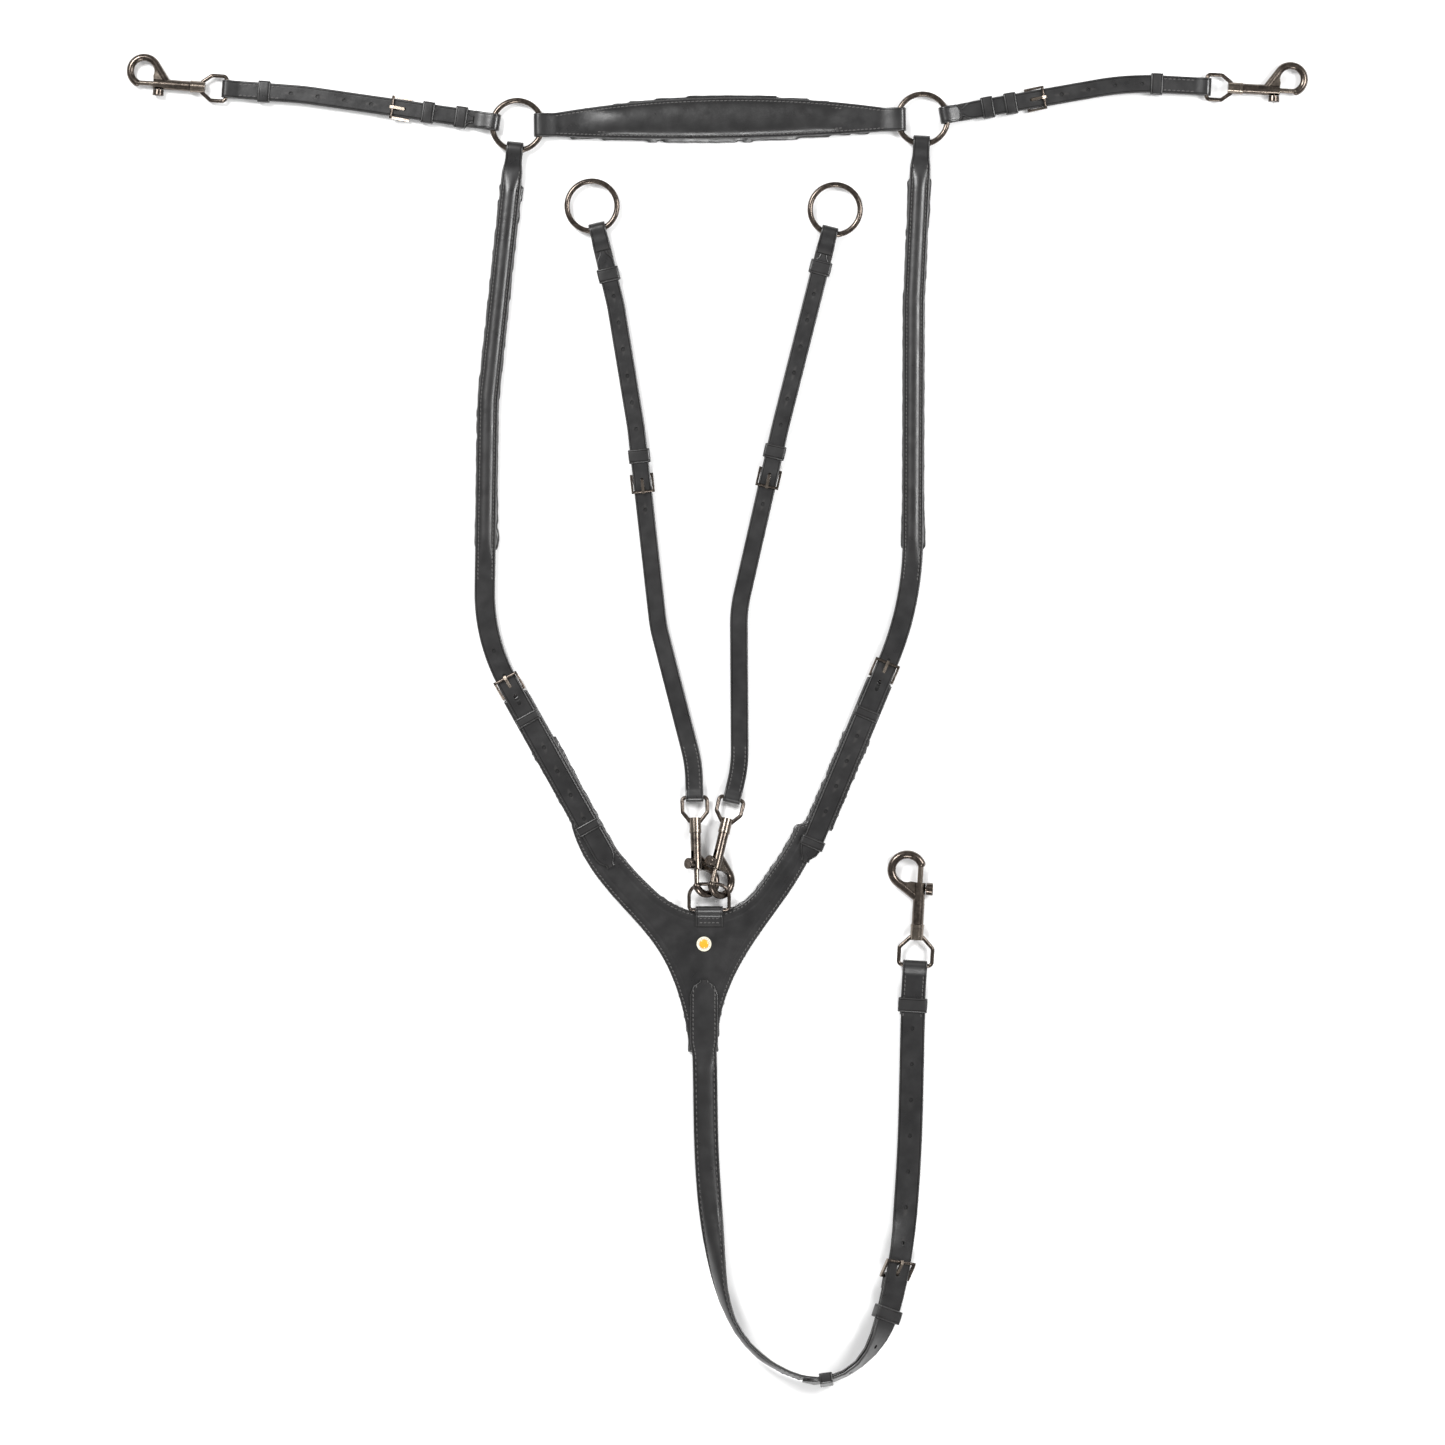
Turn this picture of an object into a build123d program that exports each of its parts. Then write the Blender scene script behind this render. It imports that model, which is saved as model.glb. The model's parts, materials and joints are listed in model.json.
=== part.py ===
"""Running martingale with a five point breastplate: padded yoke, two neck straps, wither pad, two saddle
straps with snap hooks, a detachable running fork with two rings, and a girth strap with a snap hook.

It lies flat on its lining. Millimetres, +Z up, +Y from the yoke towards the wither pad.
Origin: underside of the yoke, below the badge.
"""

import os
from math import cos, radians, sin

from build123d import *

os.makedirs("parts", exist_ok=True)

# ---- Driving dimensions ----------------------------------------------------------------------------------

LEATHER = 2.2  # thickness of one layer of strap leather
MID = 6.6  # height of the seam between two doubled layers, and of every ring's wire
YOKE_LINING = 3.4  # thickness of the padded yoke lining
YOKE_TOP = 6.2  # top of the yoke's leather
LINING_MARGIN = 2.8  # how far the yoke's lining shows round its leather
FOLD_WALL = 1.8  # leather where it is skived thin to fold round a ring or a bar

RING_WIRE = 2.5  # radius of the wire of the four rings
RING_MEAN = 22.5  # radius of a ring at the middle of its wire

NARROW = 16.0  # width of the fork and saddle straps
NECK = 18.5  # width of the neck straps
GIRTH = 22.0  # width of the girth strap
ARM = 24.0  # width of the yoke's arms
PAD_END = 22.0  # width of the wither pad where it folds round its rings

BAR = 1.25  # radius of a buckle's pivot and front bars
BUCKLE_REACH = 15.0  # from a buckle's pivot bar to its front bar
PIVOT_DROP = 3.6  # from the middle of a pivot bar up to the strap that lies over it
BUCKLE_RISE = PIVOT_DROP + LEATHER + 0.3 + BAR  # from the pivot bar up to the front bar, over the strap
PIN = 1.0  # radius of a buckle's tongue
KEEPER = 1.5  # leather thickness of a keeper
KEEPER_GAP = 0.35  # room between a keeper and the strap inside it
GAP = 0.3  # clearance between loose pieces

SIDES = ("l", "r")

# Places in plan: where each strap's centreline starts, turns and ends.
WITHER_RING = {"l": (-168.1, 736.7), "r": (196.7, 742.5)}
FORK_RING = {"l": (-100.8, 664.2), "r": (118.0, 661.0)}
NECK_UPPER = {"l": (-194.4, 489.6), "r": (189.0, 579.6)}
NECK_CORNER = {"l": (-198.0, 273.6), "r": (187.7, 306.9)}
NECK_TIP = {"l": (-83.7, 69.3), "r": (90.7, 74.4)}
NECK_BEND = {"l": 170.0, "r": 290.0}
NECK_BUCKLE = {"l": 54.5, "r": 73.5}  # from the corner to the pivot bar, down the arm
SADDLE_EYE = {"l": (-430.0, 769.5), "r": (452.5, 771.5)}
SADDLE_HEADING = {"l": 175.8, "r": -3.0}  # direction of the snaps, in degrees from +X
FORK_UPPER = {"l": (-61.1, 464.5), "r": (69.0, 466.7)}
FORK_LOWER = {"l": (-41.0, 285.3), "r": (31.3, 301.1)}
FORK_KNEE = {"l": [(-79.4, 575.0)], "r": []}
FORK_EYE = {"l": (-8.5, 132.0), "r": (25.2, 131.0)}
FORK_HEADING = {"l": -88.5, "r": -103.5}
SNAP_TILT = 9.8  # the fork snaps climb towards the dee
SNAP_ROLL = 42.0  # and lean, so that each hook passes under the dee's bow
DEE_CENTRE = (4.6, 31.0, 9.4)  # middle of the dee's straight bar
DEE_WIRE = 1.6  # radius of the dee's wire
DEE_HALF = 18.0  # half the dee's width, at the middle of its wire
DEE_DEPTH = 23.8  # from the middle of the dee's bar to the middle of its bow
DEE_SHOULDER = 11.5  # bend of the bow's two corners
DEE_FOOT = 3.0  # bend of the two corners at the straight bar
DEE_TILT = 13.2  # degrees the bow leans up over the hooks


# ---- Small helpers ---------------------------------------------------------------------------------------


def heading(start, end):
    """Unit vector in plan from one point to another."""
    return (Vector(*end) - Vector(*start)).normalized()


def along(start, end, distance):
    """Point in plan that lies a distance from start towards end."""
    return Vector(*start) + heading(start, end) * distance


def flat_plane(point, direction, height):
    """Plane lying flat at a height, with X along a direction in plan and Z up."""
    return Plane(origin=(point.X, point.Y, height), x_dir=direction, z_dir=(0, 0, 1))


def side_plane(point, direction, height):
    """Upright plane along a direction in plan: X runs along it and Y is up."""
    return Plane(origin=(point.X, point.Y, height), x_dir=direction, z_dir=(direction.Y, -direction.X, 0))


def save(builder, name):
    """Label one finished piece and write it to its own file."""
    builder.part.label = name
    export_step(builder.part, f"parts/{name}.step")


def strip(points, bend, width, bottom, thickness):
    """Flat strap with a straight or gently bent centreline, added to the current part."""
    with BuildSketch(Plane.XY.offset(bottom)) as plan:
        with BuildLine():
            if len(points) == 2:
                Line(*points)
            else:
                FilletPolyline(*points, radius=bend)
        trace(line_width=width)
    extrude(plan.sketch, amount=thickness)


def end_loop(point, direction, opening, reach, wall, lead, width):
    """Fold of a doubled strap's end round a wire at MID height, added to the current part.

    The fold runs towards direction. Its hollow is opening high either side of the wire, and reach longer
    than it is high, so that a curved wire fits across the whole width of the strap.
    """
    outer = opening + wall
    with BuildSketch(side_plane(point, direction, MID)) as profile:
        with Locations((reach / 2, 0)):
            SlotCenterToCenter(reach, 2 * outer)
        Polygon((-lead, -LEATHER), (0, -outer), (0, outer), (-lead, LEATHER), align=None)
        with Locations((reach / 2, 0)):
            SlotCenterToCenter(reach, 2 * opening, mode=Mode.SUBTRACT)
    extrude(profile.sketch, amount=width / 2, both=True)


def chape(plane, width):
    """Fold of leather round a buckle's pivot bar, with its slot for the tongue, in the current part."""
    upright = Plane(origin=plane.origin, x_dir=plane.x_dir, z_dir=-plane.y_dir)
    with BuildSketch(upright) as fold:
        Circle(BAR + 1.55)
    extrude(fold.sketch, amount=width / 2, both=True)
    with BuildSketch(upright) as bore:
        Circle(BAR + 0.08)
    extrude(bore.sketch, amount=width, both=True, mode=Mode.SUBTRACT)
    slit(plane, -4.0, 4.0, -4.0, PIVOT_DROP - GAP)


def slit(plane, start, end, bottom, top):
    """Cut the slot that a buckle's tongue passes through, from start to end along a plane's X axis."""
    with BuildSketch(plane.offset(bottom)) as cut:
        with Locations(((start + end) / 2, 0)):
            Rectangle(end - start, 3.4)
    extrude(cut.sketch, amount=top - bottom, mode=Mode.SUBTRACT)


def ring(name, centre, mean, wire):
    """Plain welded ring, lying flat."""
    with BuildPart(Plane(origin=(*centre, MID))) as piece:
        Torus(mean, wire)
    save(piece, name)


def sleeve(plane, bottom, top, inner_width, length):
    """Leather keeper: a rectangular sleeve round a strap that runs along a plane's X axis."""
    with BuildSketch(Plane(origin=plane.origin, x_dir=plane.y_dir, z_dir=plane.x_dir)) as section:
        with Locations((0, (bottom + top) / 2)):
            Rectangle(inner_width + 2 * KEEPER, top - bottom + 2 * KEEPER)
            Rectangle(inner_width, top - bottom, mode=Mode.SUBTRACT)
    extrude(section.sketch, amount=length / 2, both=True)


def snug_sleeve(plane, length):
    """Leather keeper round a doubled narrow strap; the plane lies at the origin's height."""
    sleeve(plane, MID - LEATHER - KEEPER_GAP, MID + LEATHER + KEEPER_GAP, NARROW + 2 * KEEPER_GAP, length)


# ---- Snap hooks: an eye that swivels, a barrel with its hook, and a sprung bolt --------------------------

BARREL_START = 28.5  # from the eye's bar to the swivelling end of the barrel
BARREL_END = 63.0
BARREL = 4.5
HOOK_CENTRE = (72.0, 10.3)
HOOK_MEAN = 11.9
HOOK_WIRE = 3.2
HOOK_TIP_ANGLE = -62.0
HOOK_SPINE_ANGLE = 145.0
BOLT = 2.1
BOLT_TRAVEL = 9.5
STUD_AT = 58.5
EYE_WIRE = 1.8
SMALL = 1.04  # size of the four saddle and fork snaps
LARGE = 1.18  # size of the girth snap


def snap_eye(scale, half_width, length):
    """Stirrup with its swivel pin. The bar that the strap folds round lies on the Y axis."""
    start = BARREL_START * scale
    with BuildPart() as eye:
        with BuildLine() as stirrup:
            FilletPolyline((0, -half_width), (0, half_width), (length * 0.6, half_width), (length, 4 * scale),
                           (length, -4 * scale), (length * 0.6, -half_width), radius=3.4, close=True)
        with BuildSketch(Plane(origin=(0, 0, 0), z_dir=(0, 1, 0))):
            Circle(EYE_WIRE)
        sweep(path=stirrup.line)
        with BuildSketch(Plane.YZ.offset(length - 3.5)):
            Circle(5.0 * scale)
        extrude(amount=start - 0.2 - (length - 3.5))
        with BuildSketch(Plane.YZ.offset(start - 0.5)):
            Circle(1.9 * scale)
        extrude(amount=8.5 * scale)
        with BuildSketch(Plane.YZ.offset(start + 6 * scale)):
            Circle(2.8 * scale)
        extrude(amount=2 * scale)
    return eye.part


def snap_hook(scale):
    """Barrel and hook, with bores for the swivel pin and the bolt and a slot for the bolt's stud."""
    with BuildPart() as hook:
        with BuildSketch(Plane.XY):
            with BuildLine():
                Polyline((BARREL_START, 0), (BARREL_START, BARREL + 0.7), (BARREL_START + 2.5, BARREL + 0.7),
                         (BARREL_START + 3, BARREL), (BARREL_END, BARREL), (BARREL_END, 0), close=True)
            make_face()
        revolve(axis=Axis.X)
        with BuildLine() as bow:
            ring_arc = CenterArc(HOOK_CENTRE, HOOK_MEAN, HOOK_TIP_ANGLE, HOOK_SPINE_ANGLE - HOOK_TIP_ANGLE)
            Line(ring_arc @ 1, ring_arc @ 1 + (ring_arc % 1) * 19.5)
        with BuildSketch(Plane(origin=ring_arc @ 0, z_dir=ring_arc % 0)):
            Circle(HOOK_WIRE)
        sweep(path=bow.line)
        with Locations(ring_arc @ 0):
            Sphere(HOOK_WIRE)
        with BuildSketch(Plane.XY.offset(-2.4)):
            Polygon((52, 0), (62.9, 0), (64.5, 17.5), (60.5, 14.5), align=None)
            with Locations(HOOK_CENTRE):
                Circle(HOOK_MEAN - HOOK_WIRE + 0.4, mode=Mode.SUBTRACT)
        extrude(amount=4.8)
        with BuildSketch(Plane.YZ.offset(BARREL_START - 1)):
            Circle(1.95)
        extrude(amount=11, mode=Mode.SUBTRACT)
        with BuildSketch(Plane.YZ.offset(BARREL_START + 5.7)):
            Circle(2.9)
        extrude(amount=3, mode=Mode.SUBTRACT)
        with BuildSketch(Plane.YZ.offset(42)):
            Circle(BOLT + 0.06)
        extrude(amount=34, mode=Mode.SUBTRACT)
        slot_start = STUD_AT - BOLT_TRAVEL - 2
        with BuildSketch(Plane.XY.offset(-1.7)):
            with Locations(((slot_start + STUD_AT + 2) / 2, -5)):
                Rectangle(STUD_AT + 2 - slot_start, 10)
        extrude(amount=3.4, mode=Mode.SUBTRACT)
        if scale != 1:
            add(hook.part.scale(scale), mode=Mode.REPLACE)
    return hook.part


def snap_bolt(scale):
    """Sliding bolt with its thumb stud, drawn closed against the hook's tip."""
    with BuildPart() as bolt:
        with BuildSketch(Plane.YZ.offset(52)):
            Circle(BOLT)
        extrude(amount=75.4 - 52)
        with BuildSketch(Plane(origin=(STUD_AT, 0, 0), x_dir=(1, 0, 0), z_dir=(0, -1, 0))):
            Circle(1.5)
        extrude(amount=6)
        with BuildSketch(Plane(origin=(STUD_AT, -BARREL - 0.5, 0), x_dir=(1, 0, 0), z_dir=(0, -1, 0))):
            Circle(4.6)
        extrude(amount=5.2, taper=-4)
        fillet(bolt.faces().sort_by(Axis.Y)[0].edges(), 0.8)
        if scale != 1:
            add(bolt.part.scale(scale), mode=Mode.REPLACE)
    return bolt.part


# ---- Buckles: a frame bent up from its pivot bar to its front bar, and a tongue --------------------------


def buckle_frame(strap_width):
    """Frame whose pivot bar lies on the Y axis below the strap and whose front bar crosses above it."""
    half = strap_width / 2 + 0.5 + 2.0
    with BuildPart() as frame:
        for reach, height in ((0, 0), (BUCKLE_REACH, BUCKLE_RISE)):
            with BuildSketch(Plane.XZ.offset(-half)):
                with Locations((reach, height)):
                    Circle(BAR)
            extrude(amount=2 * half)
        for inner in (-half, half - 2.0):
            with BuildSketch(Plane.XZ.offset(-inner - 2.0)):
                Polygon((-BAR, -BAR), (BAR, -BAR), (BUCKLE_REACH + BAR, BUCKLE_RISE - BAR),
                        (BUCKLE_REACH + BAR, BUCKLE_RISE + BAR), (BUCKLE_REACH - BAR, BUCKLE_RISE + BAR),
                        (-BAR, BAR), align=None)
            extrude(amount=2.0)
    return frame.part


def buckle_tongue():
    """Tongue turned round the pivot bar, with its point resting on the front bar."""
    top = BUCKLE_RISE + BAR + PIN + 0.05
    with BuildPart() as tongue:
        with BuildSketch(Plane.XZ.offset(-1.25)):
            Circle(BAR + 1.05)
            Polygon((-1.5, 1.5), (1.9, 0.6), (BUCKLE_REACH - 1, top - PIN), (BUCKLE_REACH + 2, top - PIN),
                    (BUCKLE_REACH + 2, top + 0.2), (BUCKLE_REACH - 1.5, top + PIN), align=None)
            Circle(BAR + 0.05, mode=Mode.SUBTRACT)
        extrude(amount=2.5)
    return tongue.part


def place(pattern, plane, name):
    """Write one copy of a repeated piece, set on a plane."""
    with BuildPart(plane) as piece:
        add(pattern)
    save(piece, name)


# ---- Yoke: padded lining, stitched leather and the generic badge -----------------------------------------

arm_start = {side: heading(NECK_CORNER[side], NECK_TIP[side]) for side in SIDES}


def on_arm(side, distance):
    """Point on a yoke arm's centreline, measured from the corner of the neck strap's route."""
    return along(NECK_CORNER[side], NECK_TIP[side], distance)


def yoke_outline(grow):
    """Fill the current sketch with the yoke's body, from the arms' roots to the stem's end, wider by grow."""
    high = grow * 0.9
    low = grow * 0.5
    with BuildLine() as edge:
        inner = Spline((low - 92.7, high + 107.1), (low - 58.5, high + 62.1), (low - 33.3, high + 39.6),
                       (0.9, high + 27.9), (37.8 - low, high + 39.6), (56.7 - low, high + 62.1),
                       (83.7 - low, high + 107.1), tangents=(arm_start["l"], -arm_start["r"]))
        right = Spline((108.0 + grow, 115.0), (72.0 + grow, 39.6), (40.5 + grow, -5.4), (18.9 + grow, -50.4),
                       (12.9 + grow, -97.0 - grow))
        left = Spline((-13.5 - grow, -97.0 - grow), (-21.6 - grow, -50.4), (-41.4 - grow, -5.4),
                      (-79.2 - grow, 39.6), (-119.5 - grow, 107.1))
        Line(inner @ 1, right @ 0)
        Line(right @ 1, left @ 0)
        Line(left @ 1, inner @ 0)
    make_face(edge.edges())


with BuildPart() as yoke_lining:
    with BuildSketch():
        yoke_outline(LINING_MARGIN)
        for side, start in (("l", 104.0), ("r", 126.0)):
            with BuildLine() as arm:
                Line(on_arm(side, start), on_arm(side, 218))
            trace(arm.line, line_width=ARM + 2 * LINING_MARGIN)
    extrude(amount=YOKE_LINING)
save(yoke_lining, "yoke_lining")

neck_pivot = {side: flat_plane(on_arm(side, NECK_BUCKLE[side]), -arm_start[side], MID - PIVOT_DROP)
              for side in SIDES}

with BuildPart() as yoke_leather:
    with BuildSketch(Plane.XY.offset(YOKE_LINING)):
        yoke_outline(0)
        for side in SIDES:
            with BuildLine() as arm:
                Line(on_arm(side, NECK_BUCKLE[side] + 3), on_arm(side, 218))
            trace(arm.line, line_width=ARM)
    extrude(amount=YOKE_TOP - YOKE_LINING)
    for side in SIDES:
        strip((on_arm(side, NECK_BUCKLE[side] + 0.5), on_arm(side, NECK_BUCKLE[side] + 6)), 0, NECK - 0.6,
              YOKE_LINING, YOKE_TOP - YOKE_LINING - 0.4)
        chape(neck_pivot[side], NECK - 0.6)
save(yoke_leather, "yoke_leather")

with BuildPart() as badge:
    with BuildSketch(Plane.XY.offset(YOKE_TOP)):
        Circle(6.7)
    extrude(amount=1.3)
    fillet(badge.faces().sort_by(Axis.Z)[-1].edges(), 0.5)
    with BuildSketch(Plane.XY.offset(YOKE_TOP + 1.0)):
        Circle(4.2)
    extrude(amount=1.0)
save(badge, "badge")

dee_lean = radians(DEE_TILT)
dee_plane = Plane(origin=DEE_CENTRE, x_dir=(1, 0, 0), z_dir=(0, -sin(dee_lean), cos(dee_lean)))
TAB_BACK = 16.0  # the dee's tab is sewn to the yoke from this Y

with BuildPart() as dee_tab:
    bar_y, bar_z = DEE_CENTRE[1:]
    with BuildSketch(Plane(origin=(DEE_CENTRE[0], 0, 0), x_dir=(0, 1, 0), z_dir=(1, 0, 0))):
        with Locations((bar_y, bar_z)):
            Circle(DEE_WIRE + 1.4)
        Polygon((TAB_BACK, YOKE_TOP), (bar_y - 2.2, YOKE_TOP), (bar_y, bar_z + DEE_WIRE + 1.4),
                (TAB_BACK + 3, YOKE_TOP + LEATHER), (TAB_BACK, YOKE_TOP + LEATHER), align=None)
        with Locations((bar_y, bar_z)):
            Circle(DEE_WIRE + 0.06, mode=Mode.SUBTRACT)
    extrude(amount=12.5, both=True)
save(dee_tab, "dee_tab")

with BuildPart() as centre_dee:
    with BuildLine(dee_plane) as bow:
        FilletPolyline((-DEE_HALF, DEE_FOOT), (-DEE_HALF, DEE_DEPTH), (DEE_HALF, DEE_DEPTH),
                       (DEE_HALF, DEE_FOOT), radius=DEE_SHOULDER)
        JernArc((-DEE_HALF, DEE_FOOT), (0, -1), DEE_FOOT, 90)
        Line((DEE_FOOT - DEE_HALF, 0), (DEE_HALF - DEE_FOOT, 0))
        JernArc((DEE_HALF - DEE_FOOT, 0), (1, 0), DEE_FOOT, 90)
    with BuildSketch(Plane(origin=DEE_CENTRE, z_dir=(1, 0, 0))):
        Circle(DEE_WIRE)
    sweep(path=bow.line)
save(centre_dee, "centre_dee")


# ---- Neck straps, each folded round a wither ring and buckled over a yoke arm ----------------------------

LINING_WIDTH = 24.5
LINING_STEP = 52.0  # from the ring's wire to where the strap is single and the lining thicker
NECK_LINING = {"l": (26, 350.0), "r": (26, 352.0)}  # from the ring's wire, and down to this Y


def ring_exit(centre, towards):
    """Where a strap meets the wire of its ring."""
    return along(centre, towards, RING_MEAN)


neck_start = {side: ring_exit(WITHER_RING[side], NECK_UPPER[side]) for side in SIDES}
neck_top = {side: heading(neck_start[side], NECK_UPPER[side]) for side in SIDES}

for side in SIDES:
    start = neck_start[side]
    run = neck_top[side]
    with BuildPart() as neck_strap:
        strip((start + run * 8, NECK_UPPER[side], NECK_CORNER[side], NECK_TIP[side]), NECK_BEND[side], NECK,
              MID, LEATHER)
        strip((start + run * 14, start + run * 50), 0, NECK, MID - LEATHER, LEATHER)
        end_loop(start, -run, 4.4, 1.5, FOLD_WALL, 16, 15.0)
        slit(neck_pivot[side], 1.0, 12.5, PIVOT_DROP - 0.5, PIVOT_DROP + LEATHER + 0.5)
    save(neck_strap, f"neck_strap_{side}")

with BuildPart() as neck_linings:
    for side in SIDES:
        first, last = NECK_LINING[side]
        lower = heading(NECK_UPPER[side], NECK_CORNER[side])
        bottom = Vector(*NECK_UPPER[side]) + lower * ((NECK_UPPER[side][1] - last) / -lower.Y)
        top = neck_start[side] + neck_top[side] * first
        step = neck_start[side] + neck_top[side] * LINING_STEP
        strip((step, NECK_UPPER[side], bottom), NECK_BEND[side], LINING_WIDTH, 0, MID - 0.1)
        strip((top, step), 0, LINING_WIDTH, 0, MID - LEATHER - 0.1)
save(neck_linings, "neck_linings")

neck_frame = buckle_frame(NECK)
tongue = buckle_tongue()

with BuildPart(*neck_pivot.values()) as neck_buckles:
    add(neck_frame)
save(neck_buckles, "neck_buckles")

for side in SIDES:
    place(tongue, neck_pivot[side], f"neck_tongue_{side}")

with BuildPart() as neck_keepers:
    for side, upper, lower in (("l", 81.0, 193.0), ("r", 108.0, 234.0)):
        for distance in (upper, lower):
            spot = flat_plane(on_arm(side, distance), arm_start[side], 0)
            sleeve(spot, YOKE_TOP - KEEPER, MID + LEATHER + KEEPER_GAP, NECK + 2 * KEEPER_GAP, 9.0)
    with BuildSketch(Plane.XY):
        Rectangle(600, 900)
    extrude(amount=YOKE_TOP, mode=Mode.SUBTRACT)
save(neck_keepers, "neck_keepers")


# ---- Wither pad and its two rings ------------------------------------------------------------------------

pad_run = heading(WITHER_RING["l"], WITHER_RING["r"])
pad_length = (Vector(*WITHER_RING["r"]) - Vector(*WITHER_RING["l"])).length


def pad_plane(height):
    """Flat plane with its origin at the left ring's centre and X towards the right ring."""
    return flat_plane(Vector(*WITHER_RING["l"]), pad_run, height)


def lens(first, end_half, low, high):
    """Fill the current sketch with a lens between two square ends, an equal way from both rings."""
    last = pad_length - first
    with BuildLine() as edge:
        Line((first, -end_half), (first, end_half))
        ThreePointArc((first, end_half), (pad_length / 2, high), (last, end_half))
        Line((last, end_half), (last, -end_half))
        ThreePointArc((last, -end_half), (pad_length / 2, low), (first, -end_half))
    make_face(edge.edges())


with BuildPart() as wither_lining:
    with BuildSketch(pad_plane(0)):
        lens(40.0, 12.5, -21.5, 28.5)
    extrude(amount=MID - LEATHER - 0.1)
save(wither_lining, "wither_lining")

with BuildPart() as wither_leather:
    with BuildSketch(pad_plane(MID - LEATHER)):
        lens(38.0, 10.8, -15.0, 22.0)
    extrude(amount=2 * LEATHER)
    with BuildSketch(pad_plane(MID + LEATHER)):
        lens(58.0, 4.0, -8.0, 15.0)
    extrude(amount=4.0, taper=25)
    for side, direction in (("l", pad_run), ("r", -pad_run)):
        start = Vector(*WITHER_RING[side]) + direction * RING_MEAN
        end_loop(start, -direction, 2.8, 2.9, FOLD_WALL, 16, PAD_END - 1)
        strip((start + direction * 14, start + direction * 22), 0, PAD_END - 0.4, MID - LEATHER, 2 * LEATHER)
save(wither_leather, "wither_leather")

for side in SIDES:
    ring(f"wither_ring_{side}", WITHER_RING[side], RING_MEAN, RING_WIRE)


# ---- Snap hook and buckle patterns -----------------------------------------------------------------------

SMALL_EYE = (11.2, 22.5)
LARGE_EYE = (15.0, 26.0)
small_parts = {"eye": snap_eye(SMALL, *SMALL_EYE), "hook": snap_hook(SMALL), "bolt": snap_bolt(SMALL)}
large_parts = {"eye": snap_eye(LARGE, *LARGE_EYE), "hook": snap_hook(LARGE), "bolt": snap_bolt(LARGE)}
narrow_frame = buckle_frame(NARROW)


def polar(angle):
    """Unit vector in plan at an angle from +X."""
    return Vector(cos(radians(angle)), sin(radians(angle)))


# ---- Saddle straps: doubled from the wither ring to the snap, and buckled back on themselves -------------

SADDLE_KNEE = 70.0  # from the snap's eye back to the strap's slight bend
SADDLE_BUCKLE = {"l": 165.5, "r": 163.0}  # from the eye to the pivot bar
SADDLE_TIP = {"l": 224.0, "r": 222.0}
SADDLE_KEEPERS = {"l": (183.0, 213.0), "r": (178.0, 199.0)}
SADDLE_SLIDER = {"l": 34.0, "r": 45.0}

for side in SIDES:
    toward_hook = polar(SADDLE_HEADING[side])
    eye = Vector(*SADDLE_EYE[side])
    knee = eye - toward_hook * SADDLE_KNEE
    start = ring_exit(WITHER_RING[side], knee)
    run = heading(start, knee)

    def from_eye(distance):
        """Flat plane on the straight part of this strap, with X towards the snap."""
        return flat_plane(knee - run * (distance - SADDLE_KNEE), run, 0)

    pivot = from_eye(SADDLE_BUCKLE[side]).offset(MID - PIVOT_DROP)
    tip = from_eye(SADDLE_TIP[side]).origin
    with BuildPart() as saddle_strap:
        strip((start + run * 12, knee, eye - toward_hook * 10), 250, NARROW, MID - LEATHER, LEATHER)
        strip((tip, knee, eye - toward_hook * 10), 250, NARROW, MID, LEATHER)
        strip((start + run * 12, start + run * 34), 0, NARROW, MID, LEATHER)
        end_loop(start, -run, 3.9, 1.2, FOLD_WALL, 14, NARROW - 1)
        end_loop(eye, toward_hook, EYE_WIRE + 0.3, 0.01, FOLD_WALL, 12, NARROW)
        chape(pivot, NARROW - 0.6)
        slit(pivot, -4.0, 12.5, 0, PIVOT_DROP + LEATHER + 0.5)
    save(saddle_strap, f"saddle_strap_{side}")
    place(narrow_frame, pivot, f"saddle_buckle_{side}")
    place(tongue, pivot, f"saddle_tongue_{side}")
    with BuildPart() as saddle_keepers:
        for distance in SADDLE_KEEPERS[side]:
            snug_sleeve(from_eye(distance), 11.0)
    save(saddle_keepers, f"saddle_keepers_{side}")
    slider_plane = flat_plane(eye - toward_hook * SADDLE_SLIDER[side], toward_hook, 0)
    with BuildPart() as saddle_slider:
        snug_sleeve(slider_plane, 11.0)
    save(saddle_slider, f"saddle_slider_{side}")
    facing = 1 if side == "l" else -1
    bulge_up = Plane(origin=(eye.X, eye.Y, MID), x_dir=toward_hook, z_dir=(0, 0, -facing))
    for piece_name, pattern in small_parts.items():
        place(pattern, bulge_up, f"saddle_{piece_name}_{side}")


# ---- Running fork: two straps with rings, snapped to the yoke's dee --------------------------------------

FORK_BEND = 120.0  # radius of the straps' bends
FORK_FOOT = 30.0  # from the snap's eye up to the strap's last bend
FORK_SEWN = 46.0  # length sewn double above the eye
FORK_BUCKLE = {"l": 42.8, "r": 41.2}  # from the upper bend down to the pivot bar
FORK_KEEPER = {"l": 25.5, "r": 24.3}
FORK_SLIDER = {"l": 41.0, "r": 31.5}  # from the ring's wire

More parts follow.
